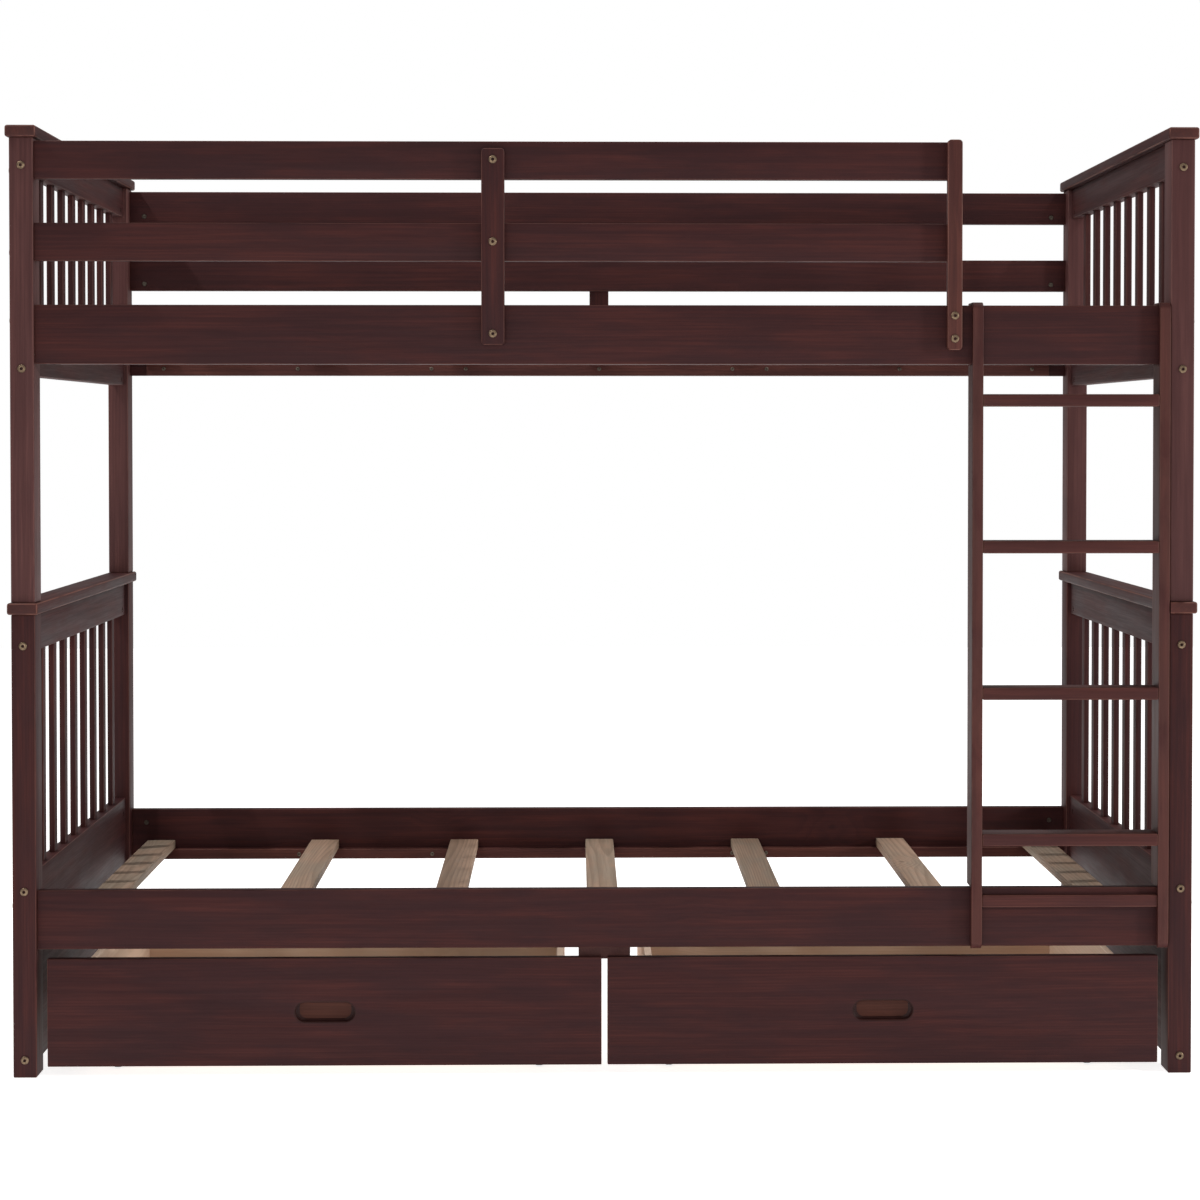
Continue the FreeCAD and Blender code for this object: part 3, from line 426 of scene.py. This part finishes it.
for node in sorted(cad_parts):
    if "_end_" not in node or "guard" in node:
        continue
    low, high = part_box(node)
    rail = bored(eased_board(low, high, RAIL_EDGE), nut_wells(low, high))
    mark_grain(rail, low, high, Y, RAIL_EDGE)
    finished(node + "_wood", [rail], [espresso], "frame", [node])

# ---- spindles ----
# Slim upright slats with soft edges, glued into the rails above and below at an even spacing.

SPINDLE_EDGE = 0.0016
for node in ("lower_spindles", "upper_spindles"):
    spindles = grained_boards(node, Z, SPINDLE_EDGE)
    finished(node + "_wood", spindles, [espresso], "frame", [node])

# ---- side rails and guard rails ----
# Long pine boards with the grain along the bed, bolted to the posts from their outer sides. Each end has a
# cross bore on the inner face with its barrel nut.

for node in sorted(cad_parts):
    if "side_rail" not in node and "guard_rail" not in node:
        continue
    low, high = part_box(node)
    rail = bored(eased_board(low, high, RAIL_EDGE), nut_wells(low, high))
    mark_grain(rail, low, high, X, RAIL_EDGE)
    finished(node + "_wood", [rail], [espresso], "frame", [node])

# ---- cleats ----
# Square strips in three lengths to a rail, stained with the rails and screwed along their lower edges.

CLEAT_EDGE = 0.0012
russet = pine("russet stained pine", (0.032, 0.0100, 0.0090), (0.062, 0.0190, 0.0165),
              (0.094, 0.0300, 0.0220), (0.24, 0.12, 0.09), wear_and_highlight=0.75, gloss=0.42)
for node in ("lower_cleats", "upper_cleats"):
    cleats = grained_boards(node, X, CLEAT_EDGE)
    finished(node + "_wood", cleats, [russet], "frame", [node])

# ---- slats ----
# Bare planed pine boards laid loose across the cleats, some greyer and some pinker, with fine ring lines and
# small brown knots.

SLAT_EDGE = 0.0018
bare_pine = pine("bare pine", (0.137, 0.091, 0.060), (0.250, 0.203, 0.155), (0.335, 0.225, 0.161),
                 (0.62, 0.50, 0.39), wear_and_highlight=0.3, gloss=0.6, figure=0.42, ring_width=0.0042,
                 knot_strength=0.75, relief=0.0002, tone_spread=0.75, streaks=0.2, fibres=0.22)
for node in ("lower_slats", "upper_slats"):
    slats = grained_boards(node, Y, SLAT_EDGE)
    finished(node + "_wood", slats, [bare_pine], "frame", [node])

# ---- guard supports ----
# Upright boards bolted outside the guard rails, their corners rounded in the face and their edges eased.
# The one beside the ladder took the stain redder than the rails.

SUPPORT_CORNER = 0.006
SUPPORT_EDGE = 0.0022


def round_cornered(low, high, across, corner, edge):
    """A board whose four corners are rounded in its face, seen along the axis across, with eased edges."""
    board = bmesh.new()
    bmesh.ops.create_cube(board, size=1)
    for vert in board.verts:
        vert.co = Vector([low[i] if vert.co[i] < 0 else high[i] for i in range(3)])
    corners = []
    for side in board.edges:
        line = side.verts[0].co - side.verts[1].co
        if abs(line[across]) > 0.9 * line.length:
            corners.append(side)
    bmesh.ops.bevel(board, geom=corners, offset=corner, segments=5, profile=0.5, affect="EDGES")
    rims = [side for side in board.edges if side.calc_face_angle(0) > SQUARE_EDGE]
    bmesh.ops.bevel(board, geom=rims, offset=edge, segments=3, profile=0.5, affect="EDGES",
                    clamp_overlap=True)
    return board


for node in sorted(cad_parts):
    if "support" not in node:
        continue
    low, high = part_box(node)
    support = round_cornered(low, high, Y, SUPPORT_CORNER, SUPPORT_EDGE)
    mark_grain(support, low, high, Z, SUPPORT_EDGE)
    stain = russet if node == "guard_end_support" else espresso
    finished(node + "_wood", [support], [stain], "frame", [node])

# ---- stop block ----
# A short pine block with a thin coat of stain, screwed up into the lower front cleat at mid-length. Both
# drawer fronts close against its end.

low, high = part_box("stop_block")
block = eased_board(low, high, RAIL_EDGE)
mark_grain(block, low, high, Y, RAIL_EDGE)
finished("stop_block_wood", [block], [lighter_stain], "frame", ["stop_block"])

# ---- ladder ----
# Two stringers that hook over the upper side rail and stand on the lower one, with a tongue in front of each
# rail and a rounded head. Four deep rungs and one shallow foot rung are glued between them.

STRINGER_EDGE = 0.0024
HEAD_ROUND = 0.0135
ON_FACE = 1e-5
ROUNDED_HEAD = math.radians(50)
STRAIGHT_ON = 0.01
RUNG_EDGE = 0.003
ladder_stain = pine("ladder stained pine", (0.030, 0.0085, 0.0080), (0.051, 0.0150, 0.0142),
                    (0.074, 0.0210, 0.0170), (0.17, 0.080, 0.060), wear_and_highlight=0.35, gloss=0.46)


def outline_of(node):
    """The stringer's side outline, read from its CAD solid: the corners in the Y-Z plane, in order."""
    merged = bmesh.new()
    merged.from_mesh(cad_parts[node].data)
    bmesh.ops.remove_doubles(merged, verts=merged.verts, dist=SAME_POINT)
    low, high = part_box(node)
    rims = {}
    for side in merged.edges:
        first, second = side.verts
        if abs(first.co.x - low.x) > ON_FACE or abs(second.co.x - low.x) > ON_FACE:
            continue
        if side.calc_face_angle(0) < SQUARE_EDGE:
            continue
        rims.setdefault(first.index, []).append(second)
        rims.setdefault(second.index, []).append(first)
    merged.verts.ensure_lookup_table()
    start = merged.verts[next(iter(rims))]
    path = [start]
    before = None
    here = start
    while True:
        onward = [vert for vert in rims[here.index] if vert is not before]
        before, here = here, onward[0]
        if here is start:
            break
        path.append(here)
    points = [(vert.co.y, vert.co.z) for vert in path]
    merged.free()
    corners = []
    for index, point in enumerate(points):
        last = Vector(points[index - 1])
        after = Vector(points[(index + 1) % len(points)])
        turn = (Vector(point) - last).normalized().cross((after - Vector(point)).normalized())
        if abs(turn) > STRAIGHT_ON:
            corners.append(point)
    return corners


for node in ("ladder_stringer_left", "ladder_stringer_right"):
    low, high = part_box(node)
    stringer = bmesh.new()
    corners = outline_of(node)
    sheet = stringer.faces.new([stringer.verts.new((low.x, y, z)) for y, z in corners])
    swept = bmesh.ops.extrude_face_region(stringer, geom=[sheet])
    for vert in swept["geom"]:
        if isinstance(vert, bmesh.types.BMVert):
            vert.co.x = high.x
    bmesh.ops.recalc_face_normals(stringer, faces=stringer.faces)
    heads = []
    for side in stringer.edges:
        middle = (side.verts[0].co + side.verts[1].co) / 2
        level = abs(side.verts[0].co.z - side.verts[1].co.z) < SAME_POINT
        crosswise = abs(side.verts[0].co.x - side.verts[1].co.x) > STRINGER_EDGE
        if level and crosswise and middle.y < low.y + ON_FACE:
            heads.append(side)
    bmesh.ops.bevel(stringer, geom=heads, offset=HEAD_ROUND, segments=6, profile=0.5, affect="EDGES")
    rims = [side for side in stringer.edges if side.calc_face_angle(0) > ROUNDED_HEAD]
    bmesh.ops.bevel(stringer, geom=rims, offset=STRINGER_EDGE, segments=3, profile=0.5, affect="EDGES",
                    clamp_overlap=True)
    mark_grain(stringer, low, high, Z, STRINGER_EDGE)
    finished(node + "_wood", [stringer], [ladder_stain], "frame", [node])

rungs = grained_boards("ladder_rungs", X, RUNG_EDGE, segments=4)
finished("ladder_rungs_wood", rungs, [ladder_stain], "frame", ["ladder_rungs"])

# ---- drawer fronts ----
# Wide boards with the same stain as the rails. A round-ended finger grip is routed into each, with an
# undercut above it. The grip's floor carries painted light, lighter and redder than the rails, and its walls
# and lip carry painted shade, darker than the rails.

FRONT_EDGE = 0.0016
GRIP_LONG, GRIP_HIGH, GRIP_DEEP = 0.103, 0.035, 0.013
GRIP_LIP, GRIP_UNDERCUT, LIP_ROUND = 0.005, 0.008, 0.0032
UNDERCUT_STEP, FLOOR_ROUND, CUTTER_CLEAR = 0.002, 0.003, 0.001
ARC_STEPS, LIP_STEPS = 16, 5
GRIP_FLOOR_LIT_SLOT, GRIP_WALL_SHADED_SLOT = 1, 2
# Painted light for the grip's floor and painted shade for its walls and lip.
grip_floor_painted_light = pine("routed grip floor painted light", (0.034, 0.0100, 0.0065), (0.066, 0.0200, 0.0125),
                  (0.094, 0.0290, 0.0180), STAIN_WORN_AND_HIGHLIGHT, wear_and_highlight=0.7, gloss=0.5)
grip_wall_painted_shade = pine("routed grip wall painted shade", (0.015, 0.0050, 0.0048), (0.026, 0.0078, 0.0070),
                 (0.038, 0.0115, 0.0090), STAIN_WORN_AND_HIGHLIGHT, wear_and_highlight=0.2, gloss=0.36)


def stadium(middle_x, middle_z, y, half_long, radius, lift=0.0):
    """Points round a slot with half-round ends."""
    ring = []
    for end, start in ((1, -90), (-1, 90)):
        for step in range(ARC_STEPS + 1):
            turn = math.radians(start + step * 180 / ARC_STEPS)
            z = middle_z + radius * math.sin(turn)
            raised = lift if math.sin(turn) > 0 else 0.0
            ring.append(Vector((middle_x + end * half_long + radius * math.cos(turn), y, z + raised)))
    return ring


for side in ("left", "right"):
    node = f"drawer_{side}_front"
    low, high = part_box(node)
    front = eased_board(low, high, FRONT_EDGE)
    middle_x, middle_z = (low.x + high.x) / 2, (low.z + high.z) / 2
    half_long, radius = (GRIP_LONG - GRIP_HIGH) / 2, GRIP_HIGH / 2
    mouth = radius + LIP_ROUND / 2
    inner = radius - LIP_ROUND / 2
    rings = [stadium(middle_x, middle_z, low.y - LIP_ROUND, half_long, mouth + CUTTER_CLEAR)]
    for step in range(LIP_STEPS + 1):
        turn = math.radians(90 * step / LIP_STEPS)
        rings.append(stadium(middle_x, middle_z, low.y + LIP_ROUND * (1 - math.cos(turn)), half_long,
                             mouth - LIP_ROUND * math.sin(turn)))
    rings += [
        stadium(middle_x, middle_z, low.y + GRIP_LIP, half_long, inner),
        stadium(middle_x, middle_z, low.y + GRIP_LIP + UNDERCUT_STEP, half_long, inner, GRIP_UNDERCUT),
        stadium(middle_x, middle_z, low.y + GRIP_DEEP - FLOOR_ROUND, half_long, inner, GRIP_UNDERCUT),
        stadium(middle_x, middle_z, low.y + GRIP_DEEP, half_long - FLOOR_ROUND, inner - FLOOR_ROUND,
                GRIP_UNDERCUT),
    ]
    router = bmesh.new()
    loops = [[router.verts.new(point) for point in ring] for ring in rings]
    for first, second in zip(loops, loops[1:]):
        for index in range(len(first)):
            following = (index + 1) % len(first)
            wall = router.faces.new((first[index], first[following], second[following], second[index]))
            # The walls and lip take the painted shade; the floor below takes the painted light.
            wall.material_index = GRIP_WALL_SHADED_SLOT
    router.faces.new(list(reversed(loops[0])))
    router.faces.new(loops[-1]).material_index = GRIP_FLOOR_LIT_SLOT
    bmesh.ops.recalc_face_normals(router, faces=router.faces)
    routed = cut_away(front, router)
    mark_grain(routed, low, high, X, FRONT_EDGE)
    finished(node + "_wood", [routed], [espresso, grip_floor_painted_light, grip_wall_painted_shade], f"drawer_{side}", [node])

# ---- drawer boxes ----
# Thin side and back boards of pale unfinished pine, grooved and glued round a plywood bottom. They show as
# pale strips over the fronts. Their colour is paler than the bare slats: painted light, lifting them out of
# the shade under the front rail.

BOX_EDGE = 0.001
# Paler than the bare slats as painted light, for the shade these boards sit in.
pale_board_painted_light = pine("pale drawer board painted light", (0.60, 0.44, 0.33), (0.78, 0.61, 0.48), (0.72, 0.53, 0.41),
                 (0.74, 0.58, 0.48), wear_and_highlight=0.3, gloss=0.6, figure=0.3, streaks=0.2, fibres=0.2)
plywood = pine("plywood sheet", (0.30, 0.19, 0.11), (0.44, 0.31, 0.195), (0.50, 0.36, 0.235),
               (0.52, 0.38, 0.25), wear_and_highlight=0.2, gloss=0.6, figure=0.35, ring_width=0.02, knot_strength=0.2)
for side in ("left", "right"):
    walls = grained_boards(f"drawer_{side}_sides", Y, BOX_EDGE)
    finished(f"drawer_{side}_sides_wood", walls, [pale_board_painted_light], f"drawer_{side}", [f"drawer_{side}_sides"])
    for part, material, slot in (("back", pale_board_painted_light, "drawer_board"), ("bottom", plywood, "drawer_base")):
        low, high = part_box(f"drawer_{side}_{part}")
        board = eased_board(low, high, BOX_EDGE)
        mark_grain(board, low, high, X, BOX_EDGE)
        finished(f"drawer_{side}_{part}_wood", [board], [material], f"drawer_{side}",
                 [f"drawer_{side}_{part}"])

# ---- metal ----
# Bolts with broad flat heads and a hex socket, in antique brass, and smaller screws with a square socket, in
# aged steel.

TARNISH_SHARE = 0.6


def metal(name, colour, dark, roughness, scale):
    """Bare metal with fine scratches and tarnish gathered in patches."""
    colour, dark = (*colour, 1), (*dark, 1)
    material = bpy.data.materials.new(name)
    material.use_nodes = True
    tree = material.node_tree
    surface = tree.nodes["Principled BSDF"]
    spot = shade_node(tree, "ShaderNodeTexCoord").outputs["Object"]
    patches = ramped(tree, noise(tree, spot, scale, 4.0, 0.6), 0.35, 0.7)
    scratches = noise(tree, stretched(tree, spot, (900.0, 900.0, 140.0)), 1.0, 2.0)
    tree.links.new(blended(tree, sums(tree, "MULTIPLY", patches, TARNISH_SHARE), colour, dark),
                   surface.inputs["Base Color"])
    rough = sums(tree, "MULTIPLY_ADD", patches, 0.18, roughness)
    tree.links.new(sums(tree, "MULTIPLY_ADD", scratches, 0.12, rough), surface.inputs["Roughness"])
    bump = shade_node(tree, "ShaderNodeBump", {"Height": scratches, "Distance": 0.00004, "Strength": 0.5})
    tree.links.new(bump.outputs["Normal"], surface.inputs["Normal"])
    surface.inputs["Metallic"].default_value = 1.0
    return material


antique_brass = metal("antique brass", (0.20, 0.142, 0.092), (0.080, 0.054, 0.037), roughness=0.36,
                      scale=240.0)
aged_steel = metal("aged steel", (0.13, 0.108, 0.088), (0.05, 0.041, 0.034), roughness=0.42, scale=260.0)
dark_socket = metal("dark socket", (0.060, 0.045, 0.034), (0.030, 0.024, 0.020), roughness=0.55, scale=300.0)


def turned(profile, start, way, sides=28, hollow=False, flute=0.0):
    """A round part turned about the line that leaves start along way.

    profile is (distance, radius) pairs. A hollow part closes on itself round its bore, and flute is how deep
    the grooves along its sides are.
    """
    part = bmesh.new()
    aim = Vector(way).to_track_quat("Z", "Y")
    loops = []
    for distance, radius in profile:
        ring = []
        for step in range(sides):
            turn = math.tau * step / sides
            reach = radius - (flute if step % 2 else 0.0)
            ring.append(part.verts.new(
                Vector(start) + aim @ Vector((reach * math.cos(turn), reach * math.sin(turn), distance))))
        loops.append(ring)
    following_loops = loops[1:] + ([loops[0]] if hollow else [])
    for first, second in zip(loops, following_loops):
        for index in range(sides):
            following = (index + 1) % sides
            part.faces.new((first[index], first[following], second[following], second[index]))
    if not hollow:
        part.faces.new(list(reversed(loops[0])))
        part.faces.new(loops[-1])
    bmesh.ops.recalc_face_normals(part, faces=part.faces)
    return part


def chamfered_rod(middle, way, length, radius, chamfer, flute=0.0):
    """A round bar about its middle, along way, with chamfered ends."""
    return turned([
        (-length / 2, radius - chamfer), (chamfer - length / 2, radius),
        (length / 2 - chamfer, radius), (length / 2, radius - chamfer),
    ], middle, way, flute=flute)


def pointing(axis, positive=True):
    """A unit vector along an axis."""
    way = Vector((0, 0, 0))
    way[axis] = 1 if positive else -1
    return way


def lies_along(low, high):
    """The axis of the longest side of a box, its middle and its length."""
    size = high - low
    axis = max(range(3), key=lambda i: size[i])
    return axis, (low + high) / 2, size[axis]


def fasteners(node, head_radius, head_height, shank_radius, socket, socket_sides):
    """Every bolt or screw of a node: a crowned head on its seat, a shank with a pointed end, and a socket."""
    solid = bmesh.new()
    solid.from_mesh(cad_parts[node].data)
    corners = [vert.co.copy() for vert in solid.verts]
    solid.free()
    stocks, bits = [], []
    for low, high in loose_boxes(node):
        axis, middle, length = lies_along(low, high)
        rim = [corner for corner in corners
               if all(low[i] - ON_FACE <= corner[i] <= high[i] + ON_FACE for i in range(3))
               and max(abs(corner[i] - middle[i]) for i in range(3) if i != axis) > 0.8 * head_radius]
        head_is_high = sum(corner[axis] for corner in rim) / len(rim) > middle[axis]
        way = pointing(axis, head_is_high)
        seat = middle.copy()
        seat[axis] = high[axis] - head_height if head_is_high else low[axis] + head_height
        stocks.append(turned([
            (head_height - length, shank_radius * 0.7),
            (head_height - length + shank_radius * 0.5, shank_radius),
            (0.0, shank_radius),
            (0.0, head_radius * 0.97),
            (head_height * 0.15, head_radius),
            (head_height * 0.45, head_radius * 0.985),
            (head_height * 0.8, head_radius * 0.88),
            (head_height * 0.95, head_radius * 0.72),
            (head_height, head_radius * 0.62),
        ], seat, way))
        bits.append(turned([
            (-shank_radius * 0.5, socket * 0.9),
            (head_height * 0.86, socket),
            (head_height * 1.2, socket * 1.3),
        ], seat, way, socket_sides))
    bits = gathered(bits)
    for flat in bits.faces:
        flat.material_index = 1
    return cut_away(gathered(stocks), bits)


bolts = fasteners("bolts", head_radius=0.007, head_height=0.003, shank_radius=0.003, socket=0.0026,
                  socket_sides=6)
finished("bolts_brass", [bolts], [antique_brass, dark_socket], "frame", ["bolts"])
screws = fasteners("screws", head_radius=0.004, head_height=0.002, shank_radius=0.002, socket=0.0016,
                   socket_sides=4)
finished("screws_steel", [screws], [aged_steel, dark_socket], "frame", ["screws"])

# ---- barrel nuts and stacking pins ----
# Round steel nuts that lie in cross bores of the rails, with a slot in the end that shows so that they can be
# turned to meet the bolt. Zinc-plated pins with chamfered ends stand in the posts and hold the beds together.

NUT_CHAMFER = 0.0008
SLOT_WIDE, SLOT_DEEP, SLOT_EDGE = 0.0016, 0.0014, 0.0001
stocks, slots = [], []
for low, high in nut_boxes:
    axis, middle, length = lies_along(low, high)
    radius = min(high - low) / 2
    way = pointing(axis, middle[axis] <= 0)
    stocks.append(chamfered_rod(middle, way, length, radius, NUT_CHAMFER))
    reach = Vector((radius * 1.5, radius * 1.5, SLOT_WIDE / 2))
    reach[axis] = SLOT_DEEP
    mouth = middle + way * length / 2
    slots.append(eased_board(mouth - reach, mouth + reach, SLOT_EDGE, segments=1))
nuts = cut_away(gathered(stocks), gathered(slots))
finished("barrel_nuts_steel", [nuts], [aged_steel], "frame", ["barrel_nuts"])

PIN_CHAMFER = 0.0012
zinc = metal("zinc plated steel", (0.42, 0.40, 0.37), (0.25, 0.235, 0.22), roughness=0.38, scale=160.0)
pins = []
for low, high in loose_boxes("stacking_pins"):
    axis, middle, length = lies_along(low, high)
    pins.append(chamfered_rod(middle, pointing(axis), length, min(high - low) / 2, PIN_CHAMFER))
finished("stacking_pins_steel", pins, [zinc], "frame", ["stacking_pins"])

# ---- dowels ----
# Fluted beech dowels, glued into the rail ends and under the upper caps.

DOWEL_CHAMFER = 0.001
DOWEL_FLUTE = 0.0003
dowels = []
for low, high in loose_boxes("wooden_dowels"):
    axis, middle, length = lies_along(low, high)
    peg = chamfered_rod(middle, pointing(axis), length, min(high - low) / 2, DOWEL_CHAMFER, DOWEL_FLUTE)
    mark_grain(peg, low, high, axis, DOWEL_CHAMFER)
    dowels.append(peg)
finished("wooden_dowels_beech", dowels, [bare_pine], "frame", ["wooden_dowels"])

# ---- casters ----
# A bent zinc fork under each drawer corner with a riveted axle, and a moulded black wheel with a hub.

black_plastic = bpy.data.materials.new("moulded black plastic")
black_plastic.use_nodes = True
tree = black_plastic.node_tree
surface = tree.nodes["Principled BSDF"]
spot = shade_node(tree, "ShaderNodeTexCoord").outputs["Object"]
scuffs = ramped(tree, noise(tree, spot, 90.0, 4.0, 0.65), 0.45, 0.75)
tree.links.new(blended(tree, sums(tree, "MULTIPLY", scuffs, 0.5), (0.018, 0.018, 0.019, 1),
                       (0.05, 0.049, 0.047, 1)), surface.inputs["Base Color"])
tree.links.new(sums(tree, "MULTIPLY_ADD", scuffs, 0.2, 0.42), surface.inputs["Roughness"])
moulding = shade_node(tree, "ShaderNodeBump", {"Height": noise(tree, spot, 1400.0), "Distance": 0.00005,
                                                "Strength": 0.4})
tree.links.new(moulding.outputs["Normal"], surface.inputs["Normal"])
FORK_EDGE = 0.0004
FLAT_ENOUGH = math.radians(2)
WHEEL_BORE = 0.00305
for side in ("left", "right"):
    node = f"drawer_{side}_caster_frames"
    forks = bmesh.new()
    forks.from_mesh(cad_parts[node].data)
    bmesh.ops.remove_doubles(forks, verts=forks.verts, dist=SAME_POINT)
    bmesh.ops.dissolve_limit(forks, angle_limit=FLAT_ENOUGH, verts=forks.verts, edges=forks.edges)
    rims = [rim for rim in forks.edges if rim.calc_face_angle(0) > SQUARE_EDGE]
    bmesh.ops.bevel(forks, geom=rims, offset=FORK_EDGE, segments=2, profile=0.5, affect="EDGES",
                    clamp_overlap=True)
    finished(node + "_steel", [forks], [zinc], f"drawer_{side}", [node])
    for row in ("front", "rear"):
        node = f"drawer_{side}_{row}_wheels"
        wheels = []
        for low, high in loose_boxes(node):
            middle = (low + high) / 2
            half_wide, radius = (high.x - low.x) / 2, (high.z - low.z) / 2
            face_profile = [
                (half_wide, WHEEL_BORE), (half_wide, radius * 0.32), (half_wide * 0.84, radius * 0.35),
                (half_wide * 0.60, radius * 0.39), (half_wide * 0.60, radius * 0.66),
                (half_wide * 0.90, radius * 0.74), (half_wide * 0.97, radius * 0.90),
                (half_wide * 0.80, radius * 0.975), (half_wide * 0.45, radius),
            ]
            whole_profile = [(-across, reach) for across, reach in face_profile] + face_profile[::-1]
            wheels.append(turned(whole_profile, middle, pointing(X), sides=40, hollow=True))
        finished(node + "_tyre", wheels, [black_plastic], f"{side}_{row}_wheels", [node])

# ---- floor, light and camera ----
# A plain pale floor in a white room, with a soft key light from the right, a broad fill from the front, two
# small lights high over the ends and a broad one overhead.

FLOOR_REACH = 9.0
floor_mesh = bpy.data.meshes.new("floor")
ground = bmesh.new()
bmesh.ops.create_grid(ground, x_segments=1, y_segments=1, size=FLOOR_REACH)
ground.to_mesh(floor_mesh)
ground.free()
floor = bpy.data.objects.new("floor", floor_mesh)
bpy.context.scene.collection.objects.link(floor)
pale = bpy.data.materials.new("pale floor")
pale.use_nodes = True
surface = pale.node_tree.nodes["Principled BSDF"]
surface.inputs["Base Color"].default_value = (0.86, 0.86, 0.86, 1)
surface.inputs["Roughness"].default_value = 0.9
surface.inputs["Specular IOR Level"].default_value = 0.1
surface.inputs["Emission Color"].default_value = (1, 1, 1, 1)
surface.inputs["Emission Strength"].default_value = 0.8
floor_mesh.materials.append(pale)

room = bpy.data.worlds.new("white room")
bpy.context.scene.world = room
room.use_nodes = True
tree = room.node_tree
tree.nodes.clear()
seen = shade_node(tree, "ShaderNodeBackground", {"Color": (1, 1, 1, 1), "Strength": 1.0})
lit = shade_node(tree, "ShaderNodeBackground", {"Color": (1.0, 0.985, 0.975, 1), "Strength": 0.47})
which = shade_node(tree, "ShaderNodeLightPath").outputs["Is Camera Ray"]
mixed = shade_node(tree, "ShaderNodeMixShader", {0: which, 1: lit.outputs[0], 2: seen.outputs[0]})
shade_node(tree, "ShaderNodeOutputWorld", {"Surface": mixed.outputs[0]})


def soft_light(name, place, aim, size, power, colour):
    """A rectangular lamp of so many watts that points from its place at its aim."""
    lamp = bpy.data.lights.new(name, "AREA")
    lamp.shape = "RECTANGLE"
    lamp.size, lamp.size_y = size
    lamp.energy = power
    lamp.color = colour
    stand = bpy.data.objects.new(name, lamp)
    stand.location = place
    stand.rotation_euler = (Vector(aim) - Vector(place)).to_track_quat("-Z", "Y").to_euler()
    bpy.context.scene.collection.objects.link(stand)


soft_light("key light", (5.6, -2.6, 2.0), (0, 0, 0.8), (0.6, 0.6), 135, (1.0, 0.98, 0.96))
soft_light("front fill", (-1.0, -5.6, 1.5), (0, 0, 0.7), (2.2, 1.2), 46, (1.0, 0.98, 0.97))
soft_light("left light", (-2.6, -0.4, 4.1), (-0.7, 0, 0.3), (0.08, 0.08), 86, (1.0, 0.98, 0.97))
soft_light("right light", (2.6, 0.2, 4.1), (0.7, 0, 0.3), (0.08, 0.08), 70, (1.0, 0.98, 0.97))
soft_light("top light", (0.0, -0.6, 4.2), (0, 0, 0.6), (3.0, 2.0), 25, (1.0, 1.0, 1.0))

camera_data = bpy.data.cameras.new("camera")
camera_data.lens = 85.56
camera_data.sensor_width = 36
camera_data.shift_x = -0.0246
camera_data.shift_y = -0.0863
camera = bpy.data.objects.new("camera", camera_data)
camera.location = (-0.0504, -5.3598, 1.0960)
yaw, pitch = math.radians(1.103), math.radians(-1.326)
camera.rotation_euler = (math.pi / 2 + pitch, 0, -yaw)
bpy.context.scene.collection.objects.link(camera)
bpy.context.scene.camera = camera
bpy.context.scene.view_settings.view_transform = "Standard"
bpy.context.scene.view_settings.look = "None"

bpy.context.view_layer.update()
